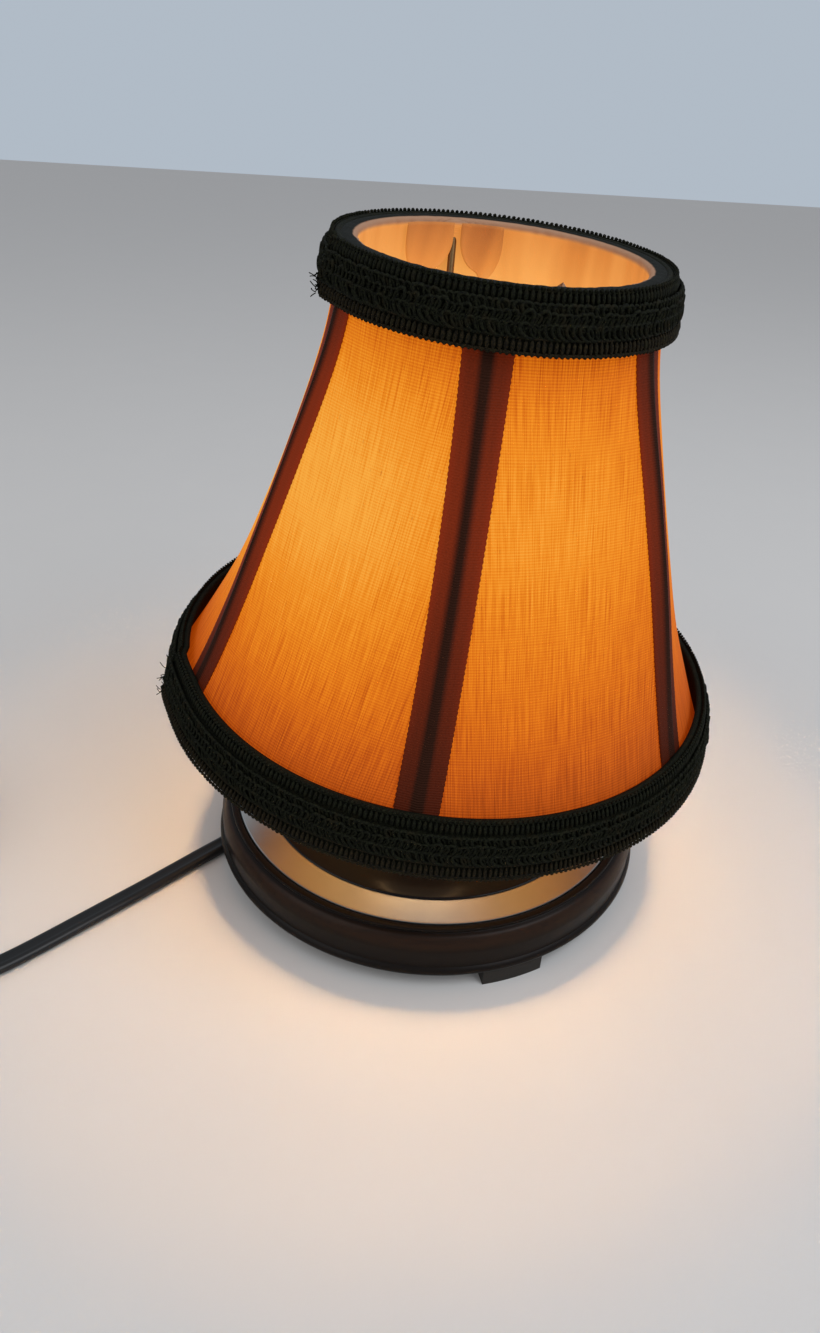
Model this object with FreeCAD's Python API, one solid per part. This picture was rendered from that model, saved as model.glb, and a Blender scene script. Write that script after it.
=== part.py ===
import FreeCAD, Part
import math
import os

V = FreeCAD.Vector

# A small candle-style table lamp with a clip-on bell shade. Millimetres, +Z up.
# The origin is on the lamp's own axis, on the surface that its feet stand on.
# The shade leans a little on its bulb, and the cord runs away to the left and is coiled there.

# General fits
overrun = 1.0
seat_gap = 0.1
soft_gap = 0.15
running_clearance = 0.08
screw_clearance = 0.05

# Feet
foot_height = 5.0
foot_count = 3
foot_width = 9.2
foot_proud = 0.2
foot_half_angle = 7.8
first_foot_angle = -67.5

# Turned base, heights counted from its underside
lip_proud = 1.0
lip_height = 2.6
wall_radius = 63.0
wall_top = 8.2
shoulder_radius = 60.8
shoulder_top = 12.1
rim_radius = 60.3
rim_top = 13.4
rim_round = 0.5
plate_seat_drop = 0.8
base_bore_radius = 5.3
cover_recess_radius = 50.4
cover_underside = 3.6
cavity_radius = 44.5
cavity_height = 5.4

# Plates on the base
nickel_radius = 58.2
nickel_thickness = 1.0
nickel_edge_round = 0.45
nickel_clearance = 0.25
disc_radius = 50.2
disc_thickness = 0.7
disc_edge_round = 0.3
disc_crown = 1.3
disc_crown_radius = 20.0

# Cover under the base and the six screws
cover_thickness = 1.2
cover_clearance = 0.3
screw_radius = 1.3
screw_length = 4.0
screw_head_radius = 2.5
screw_head_height = 1.0
screw_head_clearance = 0.3
cover_screw_radius = 47.4
cover_screw_angle = 0.0

# Nipple and its two nuts
nipple_radius = 5.05
nipple_bore_radius = 3.5
nipple_bottom_above_cover = 2.3
nipple_length = 15.0
nut_across_flats = 14.3
nut_thickness = 2.6

# Candle cup and sleeve
cup_foot_radius = 12.0
cup_top_radius = 16.5
cup_height = 9.0
cup_wall = 1.0
sleeve_radius = 12.0
sleeve_wall = 1.2
sleeve_top = 68.0

# Socket
bracket_thickness = 1.0
bracket_plate_radius = 8.6
bracket_leg_width = 5.0
bracket_leg_height = 26.0
socket_radius = 8.5
socket_top_below_sleeve = 3.0
socket_height = 27.0
socket_floor = 5.0
thread_shell_wall = 0.4
thread_shell_length = 14.5
socket_contact_radius = 2.2
socket_contact_stem = 1.2
socket_contact_head = 0.8
terminal_screw_radius = 1.4
terminal_head_radius = 2.2
terminal_head_height = 0.9
terminal_screw_depth = 2.0

# Bulb
bulb_cap_radius = 5.92
bulb_cap_length = 15.0
bulb_cap_skirt = 3.4
bulb_neck_radius = 7.2
bulb_contact_radius = 2.1
bulb_contact_height = 0.9
bulb_insulator_height = 2.1
bulb_insulator_radius = 4.3
bulb_length = 96.5
bulb_radius = 16.0
bulb_wall = 0.7
stem_radius = 3.0
stem_height = 22.0
filament_radius = 0.35
filament_support_radius = 0.4
filament_half_span = 6.0
filament_rise = 14.0
bulb_height_shares = (0.0, 0.12, 0.25, 0.37, 0.52, 0.70, 0.86, 0.95, 1.0)
bulb_radius_shares = (0.45, 0.70, 0.94, 1.0, 0.93, 0.73, 0.43, 0.2, 0.0)

# Shade frame, in its own upright frame: heights counted from the lower edge
shade_height = 114.1
shade_rim_radius = 74.3
rib_count = 6
first_rib_angle = 25.0
frame_sway = 1.3
rib_height_shares = (0.0, 0.123, 0.28, 0.456, 0.631, 0.806, 0.907, 1.0)
rib_radius_shares = (1.0, 0.914, 0.827, 0.735, 0.639, 0.542, 0.499, 0.477)
draw_in_shares = (0.0, 0.015, 0.05, 0.067, 0.067, 0.045, 0.02, 0.0)
ring_wire_radius = 1.2
rib_wire_radius = 0.9
ring_height = 2.0

# Fabric, lining, ribbons and trims
fabric_thickness = 0.5
fabric_edge = 0.8
seam_gap = 0.2
lining_thickness = 0.4
lining_slit_width = 5.0
lining_slit_depth = 9.0
ribbon_width = 10.0
ribbon_thickness = 0.35
section_shares = (0.0, 0.08, 0.17, 0.3, 0.45, 0.6, 0.75, 0.88, 0.95, 1.0)
trim_hem = 0.6
bottom_trim_height = 12.8
bottom_trim_low_stand_off = 2.2
bottom_trim_high_stand_off = 3.5
top_trim_height = 10.7
top_trim_low_stand_off = 2.9
top_trim_high_stand_off = 1.7
trim_bulge = 0.4
trim_bulge_shares = (0.0, 0.8, 1.0, 0.8, 0.0)

# How the shade sits: its clip rests on the bulb at clip_height, off the shade's centre, and leans
clip_height = 127.0
shade_off_right = 4.59
shade_off_front = 3.64
lean_front = 3.793
lean_right = 3.342
rim_below_clip = 69.87

# Bulb clip
clip_wire_radius = 0.9
clip_bulb_clearance = 0.7
hoop_distance = 18.3
hoop_drop = 26.0
hoop_corner = 4.0
clip_angle = 108.3
arm_rise = 5.0

# Flat two-conductor cord, lying on its broad side
cord_width = 5.6
cord_thickness = 2.8
cord_floor_gap = 0.1
lead_radius = 0.9
lead_spacing = 1.5
bend_share = 0.45

# Grommet in the cover
grommet_x = -35.5
grommet_y = 10.6
grommet_radius = 5.4
grommet_flange = 1.2
grommet_flange_radius = 7.0
grommet_slot_clearance = 0.15

# In-line switch with a thumbwheel
switch_length = 50.0
switch_width = 19.0
switch_half_height = 5.1
switch_end_radius = 7.0
wheel_radius = 7.5
wheel_thickness = 4.0
wheel_proud = 1.6
wheel_pocket_clearance = 0.4
wheel_pin_radius = 1.5
wheel_tooth_count = 24
wheel_tooth_depth = 0.5
switch_screw_offset = 17.0
switch_screw_radius = 1.1
switch_screw_head_radius = 2.2
switch_screw_head_height = 1.2
switch_screw_length = 7.0

# Coil of the spare cord
coil_x = -177.0
coil_y = -24.0
coil_outer_radius = 37.0
coil_turns_per_layer = 2
coil_layers = 4
coil_turn_pitch = 6.2
coil_layer_pitch = 3.4
coil_lift = 1.0
tie_width = 5.0
tie_thickness = 0.6
tie_gap = 0.3
tie_corner = 3.0

# Plug
plug_relief_length = 20.0
plug_relief_radius = 3.9
plug_body_length = 27.0
plug_body_width = 25.0
plug_body_height = 13.0
plug_nose_width = 21.0
plug_corner = 3.0
blade_length = 16.5
blade_width = 6.3
blade_thickness = 1.5
blade_spacing = 12.7

# Radii and levels that follow from the sizes above
lip_radius = wall_radius + lip_proud
foot_outer_radius = wall_radius + foot_proud
foot_inner_radius = foot_outer_radius - foot_width
underside = foot_height
plate_seat = underside + rim_top - plate_seat_drop
nickel_top = plate_seat + nickel_thickness
disc_top = nickel_top + disc_thickness + disc_crown
cover_bottom = underside + cover_underside
cover_top = cover_bottom + cover_thickness
cavity_top = cover_top + cavity_height
nipple_bottom = cover_top + nipple_bottom_above_cover
nipple_top = nipple_bottom + nipple_length
cup_floor = disc_top + cup_wall
bracket_top = cup_floor + bracket_thickness
socket_top = sleeve_top - socket_top_below_sleeve
socket_bottom = socket_top - socket_height
thread_shell_radius = bulb_cap_radius + running_clearance
shell_bottom = socket_top - thread_shell_length - overrun
bulb_bottom = shell_bottom - bulb_contact_height - bulb_insulator_height
cap_bottom = bulb_bottom + bulb_contact_height + bulb_insulator_height
cap_top = cap_bottom + bulb_cap_length
glass_bottom = cap_top + bulb_cap_skirt
bulb_tip = bulb_bottom + bulb_length
cord_level = cord_thickness / 2 + cord_floor_gap
switch_level = switch_half_height + cord_floor_gap
coil_level = coil_lift + cord_thickness / 2
plug_level = plug_body_height / 2 + cord_floor_gap

# The cord's route, point by point: out of the grommet, under the lip, away to the left and round to the coil
cord_route = [
    (grommet_x, grommet_y, 7.4),
    (grommet_x, grommet_y, 5.0),
    (-36.4, 9.7, 2.8),
    (-38.0, 8.1, 1.5),
    (-41.6, 4.7, 1.5),
    (-49.4, -3.6, 1.5),
    (-62.8, -16.9, 1.5),
    (-79.0, -34.5, 1.5),
    (-90.3, -46.0, 1.5),
    (-105.5, -61.8, 1.5),
    (-113.3, -69.0, 2.2),
    (-121.2, -73.7, 4.4),
    (-128.0, -75.6, 5.2),
    (-134.0, -75.6, 5.2),
]
link_route = [
    (-184.0, -75.6, 5.2),
    (-189.0, -75.6, 5.2),
    (-196.5, -74.0, 4.6),
    (-203.8, -69.4, 3.6),
    (-209.6, -62.0, 2.8),
    (-213.0, -52.8, 2.4),
    (-214.0, -42.0, 2.4),
    (-214.0, -29.6, 2.4),
]
tail_route = [
    (-214.0, -18.4, 12.6),
    (-214.0, -11.6, 12.6),
    (-213.4, -1.0, 11.4),
    (-212.4, 9.0, 8.2),
    (-212.0, 17.0, 6.6),
    (-212.0, 24.0, 6.6),
]


def polar(radius, degrees, z=0.0):
    angle = math.radians(degrees)
    return V(radius * math.cos(angle), radius * math.sin(angle), z)


def cylinder(radius, bottom, top, x=0.0, y=0.0):
    return Part.makeCylinder(radius, top - bottom, V(x, y, bottom))


def tube(outer, inner, bottom, top):
    return cylinder(outer, bottom, top).cut(cylinder(inner, bottom - overrun, top + overrun))


def outline(start, *steps):
    """A closed face in the XZ plane: a step is a point, or a pair of points for an arc."""
    edges = []
    here = V(start[0], 0, start[1])
    for step in steps + (start,):
        if isinstance(step[0], tuple):
            through, end = (V(p[0], 0, p[1]) for p in step)
            edges.append(Part.Arc(here, through, end).toShape())
        else:
            end = V(step[0], 0, step[1])
            if (end - here).Length > 0:
                edges.append(Part.LineSegment(here, end).toShape())
        here = end
    return Part.Face(Part.Wire(edges))


def turned(start, *steps):
    return outline(start, *steps).revolve(V(0, 0, 0), V(0, 0, 1), 360)


def smooth(share, shares, values):
    """A smooth curve through the values, read at a share of its length."""
    last = len(shares) - 1
    i = max(k for k in range(last) if shares[k] <= share or k == 0)

    def slope(k):
        low, high = max(k - 1, 0), min(k + 1, last)
        return (values[high] - values[low]) / (shares[high] - shares[low])

    span = shares[i + 1] - shares[i]
    t = (share - shares[i]) / span
    rise = values[i + 1] - values[i]
    first, second = slope(i) * span, slope(i + 1) * span
    bend = first + second - 2 * rise
    return values[i] + t * (first + t * (3 * rise - 2 * first - second + t * bend))


def rounded_path(points, name):
    """Straight runs joined by tangent arcs, each as large as its two runs allow."""
    corners = [V(*p) for p in points]
    here = corners[0]
    edges, radii = [], []
    for before, corner, after in zip(corners, corners[1:], corners[2:]):
        into, out = corner - before, after - corner
        turn = into.getAngle(out)
        reach = bend_share * min(into.Length, out.Length)
        if turn < math.radians(0.05):
            continue
        start = corner - into.normalize() * reach
        end = corner + out.normalize() * reach
        radius = reach / math.tan(turn / 2)
        inward = (start + end) * 0.5 - corner
        depth = inward.Length
        away = math.hypot(radius, reach) - radius
        middle = corner + inward * (away / depth)
        edges.append(Part.LineSegment(here, start).toShape())
        edges.append(Part.Arc(start, middle, end).toShape())
        radii.append(radius)
        here = end
    edges.append(Part.LineSegment(here, corners[-1]).toShape())
    wire = Part.Wire(edges)
    print(name, "length", round(wire.Length, 1), "radii", [round(r, 1) for r in radii])
    return wire


def swept(path, section):
    pipe = Part.BRepOffsetAPI.MakePipeShell(path)
    pipe.add(section)
    pipe.build()
    pipe.makeSolid()
    return pipe.shape()


def round_section(centre, direction, radius):
    return Part.Wire([Part.Circle(centre, direction, radius).toShape()])


def flat_section(centre, direction, across):
    side = across * (cord_width / 2 / across.Length)
    up = direction.cross(across)
    up = up * (cord_thickness / 2 / up.Length)
    return Part.Wire([Part.Ellipse(centre + side, centre + up, centre).toShape()])


def round_tube(points, radius, name):
    path = rounded_path(points, name)
    start, towards = V(*points[0]), V(*points[1])
    return swept(path, round_section(start, towards - start, radius))


def flat_tube(points, across, name):
    path = rounded_path(points, name)
    start, towards = V(*points[0]), V(*points[1])
    solid = swept(path, flat_section(start, towards - start, across))
    area = math.pi * cord_width * cord_thickness / 4
    print(name, "volume share", round(solid.Volume / (area * path.Length), 4))
    return solid


# Base


def base_body():
    wall_low = underside + lip_height
    lip_middle = underside + lip_height / 2
    wall_high = underside + wall_top
    shoulder_high = underside + shoulder_top
    top = underside + rim_top
    shoulder_bulge_shares = (0.72, 0.66)
    bulge_radius = shoulder_radius + (wall_radius - shoulder_radius) * shoulder_bulge_shares[0]
    bulge_level = wall_high + (shoulder_high - wall_high) * shoulder_bulge_shares[1]
    seat_radius = nickel_radius + nickel_clearance
    body = turned(
        (base_bore_radius, cavity_top),
        (cavity_radius, cavity_top),
        (cavity_radius, cover_top),
        (cover_recess_radius, cover_top),
        (cover_recess_radius, underside),
        (foot_outer_radius, underside),
        ((lip_radius, lip_middle), (wall_radius, wall_low)),
        (wall_radius, wall_high),
        ((bulge_radius, bulge_level), (shoulder_radius, shoulder_high)),
        (rim_radius, shoulder_high),
        (rim_radius, top - rim_round),
        (rim_radius - rim_round, top),
        (seat_radius, top),
        (seat_radius, plate_seat),
        (base_bore_radius, plate_seat),
    )
    for x, y, bottom in screw_places():
        body = body.cut(cylinder(screw_radius + screw_clearance, bottom, bottom + screw_top(), x, y))
    return body


def screw_top():
    return screw_head_height + screw_length + screw_clearance


def screw_places():
    """x, y and the underside of the head of each screw: one in each foot, then three in the cover."""
    places = []
    foot_middle = (foot_inner_radius + foot_outer_radius) / 2
    for i in range(foot_count):
        turn = 360 / foot_count * i
        in_foot = polar(foot_middle, first_foot_angle + turn)
        in_cover = polar(cover_screw_radius, cover_screw_angle + turn)
        places.append((in_foot.x, in_foot.y, screw_head_height))
        places.append((in_cover.x, in_cover.y, cover_bottom - screw_head_height))
    return places


def base_screws():
    screws = []
    for x, y, bottom in screw_places():
        head = cylinder(screw_head_radius, bottom, bottom + screw_head_height, x, y)
        shank_top = bottom + screw_head_height + screw_length
        shank = cylinder(screw_radius, bottom, shank_top, x, y)
        screws.append(head.fuse(shank).removeSplitter())
    return Part.makeCompound(screws)


def foot(index):
    middle = first_foot_angle + 360 / foot_count * index
    block = tube(foot_outer_radius, foot_inner_radius, 0, foot_height)
    corners = [V(0, 0, 0)]
    for side in (-foot_half_angle, foot_half_angle):
        corners.append(polar(foot_outer_radius + foot_height, middle + side))
    wedge = Part.Face(Part.makePolygon(corners + [corners[0]])).extrude(V(0, 0, foot_height))
    block = block.common(wedge)
    hole = polar((foot_inner_radius + foot_outer_radius) / 2, middle)
    seat = 2 * screw_head_height
    pocket = cylinder(screw_head_radius + screw_head_clearance, -overrun, seat, hole.x, hole.y)
    shank = cylinder(screw_radius + screw_clearance, -overrun, foot_height + overrun, hole.x, hole.y)
    return block.cut(pocket).cut(shank)


def nickel_plate():
    return turned(
        (base_bore_radius, plate_seat),
        (nickel_radius, plate_seat),
        (nickel_radius, nickel_top - nickel_edge_round),
        (nickel_radius - nickel_edge_round, nickel_top),
        (base_bore_radius, nickel_top),
    )


def black_disc():
    flat_top = nickel_top + disc_thickness
    slope_middle = (disc_crown_radius + disc_radius) / 2
    slope_share = 0.42
    return turned(
        (base_bore_radius, nickel_top),
        (disc_radius, nickel_top),
        (disc_radius, flat_top - disc_edge_round),
        (disc_radius - disc_edge_round, flat_top),
        ((slope_middle, flat_top + disc_crown * slope_share), (disc_crown_radius, disc_top)),
        (base_bore_radius, disc_top),
    )


def bottom_plate():
    plate = cylinder(cover_recess_radius - cover_clearance, cover_bottom, cover_top)
    for x, y, bottom in screw_places()[1::2]:
        hole = cylinder(screw_radius + screw_clearance, cover_bottom - overrun, cover_top + overrun, x, y)
        plate = plate.cut(hole)
    hole_radius = grommet_radius + seat_gap
    return plate.cut(
        cylinder(hole_radius, cover_bottom - overrun, cover_top + overrun, grommet_x, grommet_y)
    )


def cord_grommet():
    flange_bottom = cover_bottom - grommet_flange
    body = cylinder(grommet_radius, flange_bottom, cover_top, grommet_x, grommet_y)
    flange = cylinder(grommet_flange_radius, flange_bottom, cover_bottom, grommet_x, grommet_y)
    body = body.fuse(flange).removeSplitter()
    for side in (-1, 1):
        x, y = lead_start(side)
        hole = cylinder(lead_radius + grommet_slot_clearance, flange_bottom - overrun, cover_top + overrun, x, y)
        body = body.cut(hole)
    return body


# Post, socket and leads


def threaded_nipple():
    return tube(nipple_radius, nipple_bore_radius, nipple_bottom, nipple_top)


def nipple_nuts():
    nuts = []
    corner = nut_across_flats / 2 / math.cos(math.radians(30))
    for bottom in (cavity_top - nut_thickness, bracket_top):
        points = [polar(corner, 60 * k, bottom) for k in range(7)]
        block = Part.Face(Part.makePolygon(points)).extrude(V(0, 0, nut_thickness))
        bore = cylinder(nipple_radius + screw_clearance, bottom - overrun, bottom + nut_thickness + overrun)
        nuts.append(block.cut(bore))
    return Part.makeCompound(nuts)


def candle_cup():
    rim = disc_top + cup_height
    waist_share = 0.55
    waist = cup_foot_radius + (cup_top_radius - cup_foot_radius) * waist_share
    belly = disc_top + cup_height * waist_share
    return turned(
        (base_bore_radius, disc_top),
        (cup_foot_radius, disc_top),
        ((waist + cup_wall, belly - cup_wall), (cup_top_radius, rim)),
        (cup_top_radius - cup_wall, rim),
        ((waist, belly), (sleeve_radius + cup_wall, cup_floor + cup_wall)),
        (sleeve_radius + seat_gap, cup_floor),
        (base_bore_radius, cup_floor),
    )


def candle_sleeve():
    sleeve_round = sleeve_wall / 3
    inner = sleeve_radius - sleeve_wall
    return turned(
        (inner, cup_floor),
        (sleeve_radius, cup_floor),
        (sleeve_radius, sleeve_top - sleeve_round),
        (sleeve_radius - sleeve_round, sleeve_top),
        (inner + sleeve_round, sleeve_top),
        (inner, sleeve_top - sleeve_round),
    )


def socket_bracket():
    plate = tube(bracket_plate_radius, base_bore_radius, cup_floor, bracket_top)
    bracket = plate
    leg_inner = socket_radius + seat_gap
    for side in (-1, 1):
        near, far = side * (leg_inner - overrun), side * (leg_inner + bracket_thickness)
        low, high = min(near, far), max(near, far)
        half = bracket_leg_width / 2
        leg = Part.makeBox(high - low, bracket_leg_width, bracket_leg_height, V(low, -half, cup_floor))
        inside = cylinder(leg_inner, bracket_top, cup_floor + bracket_leg_height + overrun)
        bracket = bracket.fuse(leg.cut(inside))
    return bracket.removeSplitter().cut(cylinder(base_bore_radius, cup_floor - overrun, bracket_top))


def socket_body():
    body = cylinder(socket_radius, socket_bottom, socket_top)
    shell_outer = thread_shell_radius + thread_shell_wall
    floor = socket_bottom + socket_floor
    body = body.cut(cylinder(shell_outer, shell_bottom, socket_top + overrun))
    body = body.cut(cylinder(bulb_insulator_radius + overrun, floor, shell_bottom + overrun))
    for side in (-1, 1):
        hole = Part.makeCylinder(
            terminal_screw_radius + screw_clearance,
            terminal_screw_depth + overrun,
            V(0, side * (socket_radius + overrun), terminal_level()),
            V(0, -side, 0),
        )
        body = body.cut(hole)
    return body


def terminal_level():
    return socket_bottom + socket_floor / 2


def socket_shell():
    outer = thread_shell_radius + thread_shell_wall
    return tube(outer, thread_shell_radius, shell_bottom, socket_top - overrun / 2)


def socket_contact():
    floor = socket_bottom + socket_floor
    head_top = bulb_bottom - seat_gap
    stem = cylinder(socket_contact_stem, floor, head_top)
    head = cylinder(socket_contact_radius, head_top - socket_contact_head, head_top)
    return stem.fuse(head).removeSplitter()


def terminal_screws():
    screws = []
    for side in (-1, 1):
        outside = side * (socket_radius + terminal_head_height)
        inward = V(0, -side, 0)
        head = Part.makeCylinder(
            terminal_head_radius, terminal_head_height, V(0, outside, terminal_level()), inward
        )
        head = head.cut(cylinder(socket_radius, socket_bottom - overrun, socket_top))
        shank_length = terminal_head_height + terminal_screw_depth
        shank = Part.makeCylinder(
            terminal_screw_radius, shank_length, V(0, outside, terminal_level()), inward
        )
        screws.append(head.fuse(shank).removeSplitter())
    return Part.makeCompound(screws)


def lead_start(side):
    heading = math.atan2(grommet_y, grommet_x) + math.pi / 2
    return (
        grommet_x + side * lead_spacing * math.cos(heading),
        grommet_y + side * lead_spacing * math.sin(heading),
    )


def cord_leads():
    """Two insulated wires from the grommet through the nipple to the socket's two screws."""
    leads = []
    run_level = cover_top + lead_radius + seat_gap
    low = cover_bottom - grommet_flange
    rise_share = 0.3
    for side in (-1, 1):
        x, y = lead_start(side)
        inside = side * lead_spacing
        outside = side * (socket_radius + lead_radius + seat_gap)
        near_share = 0.12
        corner = lead_radius * 3
        level = run_level + lead_radius * rise_share
        fork_low = nipple_top + corner
        lead_end = terminal_level() - terminal_head_radius
        points = [
            (x, y, low),
            (x, y, level),
            (x * (1 - near_share), y * (1 - near_share), level),
            (-corner, inside, level),
            (0, inside, level + lead_radius * 2),
            (0, inside, fork_low),
            (0, outside, (fork_low + lead_end) / 2 + lead_radius),
            (0, outside, lead_end),
        ]
        leads.append(round_tube(points, lead_radius, "lead"))
    return Part.makeCompound(leads)


# Bulb


def bulb_profile(level):
    share = (level - glass_bottom) / (bulb_tip - glass_bottom)
    return bulb_radius * smooth(share, bulb_height_shares, bulb_radius_shares)


def glass_solid(inset):
    """The bulb's outline turned about its axis, drawn in by inset."""
    count = 14
    bottom = glass_bottom
    top = bulb_tip - inset
    points = []
    for k in range(count + 1):
        share = math.sin(math.pi / 2 * k / count)
        level = bottom + (top - bottom) * share
        radius = max(bulb_profile(min(level, bulb_tip)) - inset, 0)
        points.append(V(radius if k < count else 0, 0, level))
    curve = Part.BSplineCurve()
    curve.interpolate(points)
    edges = [
        curve.toShape(),
        Part.LineSegment(points[-1], V(0, 0, bottom)).toShape(),
        Part.LineSegment(V(0, 0, bottom), points[0]).toShape(),
    ]
    return Part.Face(Part.Wire(edges)).revolve(V(0, 0, 0), V(0, 0, 1), 360)


def bulb_glass():
    return glass_solid(0).cut(glass_solid(bulb_wall))


def bulb_cap():
    wall = bulb_wall
    return turned(
        (0, cap_bottom),
        (bulb_cap_radius, cap_bottom),
        (bulb_cap_radius, cap_top),
        (bulb_neck_radius, glass_bottom),
        (0, glass_bottom),
    ).cut(cylinder(bulb_cap_radius - wall, cap_bottom + wall, cap_top))


def bulb_contact():
    button = cylinder(bulb_contact_radius, bulb_bottom, bulb_bottom + bulb_contact_height)
    button_top = bulb_bottom + bulb_contact_height
    insulator = turned(
        (0, button_top),
        (bulb_contact_radius, button_top),
        (bulb_insulator_radius, cap_bottom),
        (0, cap_bottom),
    )
    return button.fuse(insulator).removeSplitter()


def bulb_filament():
    top = glass_bottom + stem_height
    stem = cylinder(stem_radius, glass_bottom, top)
    mount = stem
    crown = top + filament_rise
    for side in (-1, 1):
        start = V(side * stem_radius / 2, 0, top - overrun)
        end = V(side * filament_half_span, 0, crown)
        mount = mount.fuse(
            Part.makeCylinder(filament_support_radius, (end - start).Length, start, end - start)
        )
    loop = Part.Arc(
        V(-filament_half_span, 0, crown),
        V(0, 0, crown + filament_half_span / 2),
        V(filament_half_span, 0, crown),
    ).toShape()
    start = V(-filament_half_span, 0, crown)
    wire = swept(Part.Wire([loop]), round_section(start, V(1, 0, 1), filament_radius))
    return mount.fuse(wire)


# Shade, built upright about its own axis and then leaned


def rib_radius(height):
    share = height / shade_height
    return shade_rim_radius * smooth(share, rib_height_shares, rib_radius_shares)


def drawn_in(height):
    return smooth(height / shade_height, rib_height_shares, draw_in_shares)


def slant(height):
    """How much further a distance square to the cloth is when it is measured level."""
    low, high = max(height - fabric_edge, 0), min(height + fabric_edge, shade_height)
    return math.hypot(1, (rib_radius(high) - rib_radius(low)) / (high - low))


def inset(height, depth):
    return (fabric_thickness + soft_gap + depth) * slant(height)


def sway(height):
    share = height / shade_height
    return V(frame_sway * 4 * share * (1 - share), 0, 0)


def panel_point(height, offset, panel, share):
    """A point on the arc of a panel, share running from one rib to the next."""
    half = math.radians(180 / rib_count)
    rib = rib_radius(height) + offset
    middle = rib * (1 - drawn_in(height))
    centre = (rib * rib - middle * middle) / (2 * (rib * math.cos(half) - middle))
    radius = middle - centre
    spread = math.atan2(rib * math.sin(half), rib * math.cos(half) - centre)
    angle = spread * (2 * share - 1)
    along, across = centre + radius * math.cos(angle), radius * math.sin(angle)
    turn = math.radians(first_rib_angle + 360 / rib_count * panel) + half
    x = along * math.cos(turn) - across * math.sin(turn)
    y = along * math.sin(turn) + across * math.cos(turn)
    return V(x, y, height) + sway(height)


def section_heights():
    low, high = fabric_edge, shade_height - fabric_edge
    return [low + (high - low) * share for share in section_shares]


def band(first, middle, last, low_first, low_middle, low_last):
    """The closed wire between two arcs, each through three points."""
    return Part.Wire(
        [
            Part.Arc(first, middle, last).toShape(),
            Part.LineSegment(last, low_last).toShape(),
            Part.Arc(low_last, low_middle, low_first).toShape(),
            Part.LineSegment(low_first, first).toShape(),
        ]
    )


def shade_panel(index):
    sections = []
    for height in section_heights():
        edge_share = (seam_gap / 2) / rib_radius(height)
        points = []
        for offset in (0, -fabric_thickness):
            for share in (edge_share, 0.5, 1 - edge_share):
                points.append(panel_point(height, offset, index, share))
        sections.append(band(*points))
    return placed(Part.makeLoft(sections, True, False))


def ribbon(index):
    """A ribbon over one rib, from the edge of one panel to the edge of the next."""
    sections = []
    before = (index - 1) % rib_count
    for height in section_heights():
        edge_share = (ribbon_width / 2) / rib_radius(height)
        points = []
        for offset in (soft_gap + ribbon_thickness, soft_gap):
            points.append(panel_point(height, offset, before, 1 - edge_share))
            points.append(panel_point(height, offset, index, 0))
            points.append(panel_point(height, offset, index, edge_share))
        sections.append(band(*points))
    return placed(Part.makeLoft(sections, True, False))


def shade_lining():
    """The inner cloth, with a slit at the top edge for each arm of the clip."""
    outside = 2 * ring_wire_radius + 2 * soft_gap
    solids = []
    for depth in (outside, outside + lining_thickness):
        sections = []
        for height in section_heights():
            offset = -inset(height, depth)
            edges = []
            for panel in range(rib_count):
                points = [panel_point(height, offset, panel, share) for share in (0, 0.5, 1)]
                edges.append(Part.Arc(*points).toShape())
            sections.append(Part.Wire(edges))
        solids.append(Part.makeLoft(sections, True, False))
    lining = solids[0].cut(solids[1])
    slit = Part.makeBox(
        2 * shade_rim_radius,
        lining_slit_width,
        lining_slit_depth + overrun,
        V(-shade_rim_radius, -lining_slit_width / 2, shade_height - lining_slit_depth),
    )
    slit.rotate(V(0, 0, 0), V(0, 0, 1), clip_angle)
    return placed(lining.cut(slit))


def ring_radius(height):
    cloth = rib_radius(height) * (1 - drawn_in(height))
    return cloth - inset(height, ring_wire_radius) - soft_gap


def ring_shape(height):
    centre = sway(height) + V(0, 0, height)
    return Part.makeTorus(ring_radius(height), ring_wire_radius, centre, V(0, 0, 1))


def bottom_ring_shape():
    return ring_shape(ring_height)


def top_ring_shape():
    return ring_shape(shade_height - ring_height)


def shade_rib(index):
    angle = first_rib_angle + 360 / rib_count * index
    heights = [ring_height + (shade_height - 2 * ring_height) * s for s in section_shares]
    points = [polar(rib_radius(h) - inset(h, rib_wire_radius), angle, h) + sway(h) for h in heights]
    curve = Part.BSplineCurve()
    curve.interpolate(points)
    start = points[0]
    section = round_section(start, curve.tangent(0)[0], rib_wire_radius)
    rib = swept(Part.Wire([curve.toShape()]), section)
    rib = rib.cut(bottom_ring_shape()).cut(top_ring_shape())
    return placed(max(rib.Solids, key=lambda s: s.Volume))


def trim(low, high, low_stand_off, high_stand_off):
    """A thick braided band round an edge of the shade, between two heights."""
    low_radius = rib_radius(max(low, 0)) + low_stand_off
    high_radius = rib_radius(min(high, shade_height)) + high_stand_off
    solids = []
    for outer in (True, False):
        circles = []
        for k, bulge in enumerate(trim_bulge_shares):
            share = k / (len(trim_bulge_shares) - 1)
            height = low + (high - low) * share
            level = min(max(height, 0), shade_height)
            if outer:
                radius = low_radius + (high_radius - low_radius) * share + trim_bulge * bulge
            else:
                radius = rib_radius(level) + 2 * soft_gap + ribbon_thickness + soft_gap
            centre = sway(level) + V(0, 0, height)
            circles.append(Part.Wire([Part.Circle(centre, V(0, 0, 1), radius).toShape()]))
        solids.append(Part.makeLoft(circles, True, False))
    return placed(solids[0].cut(solids[1]))


def placed(shape):
    """Moves a piece from the shade's own frame onto the lamp and leans it about the clip."""
    shape = shape.copy()
    shape.translate(V(shade_off_right, -shade_off_front, clip_height - rim_below_clip))
    return leaned(shape)


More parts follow.
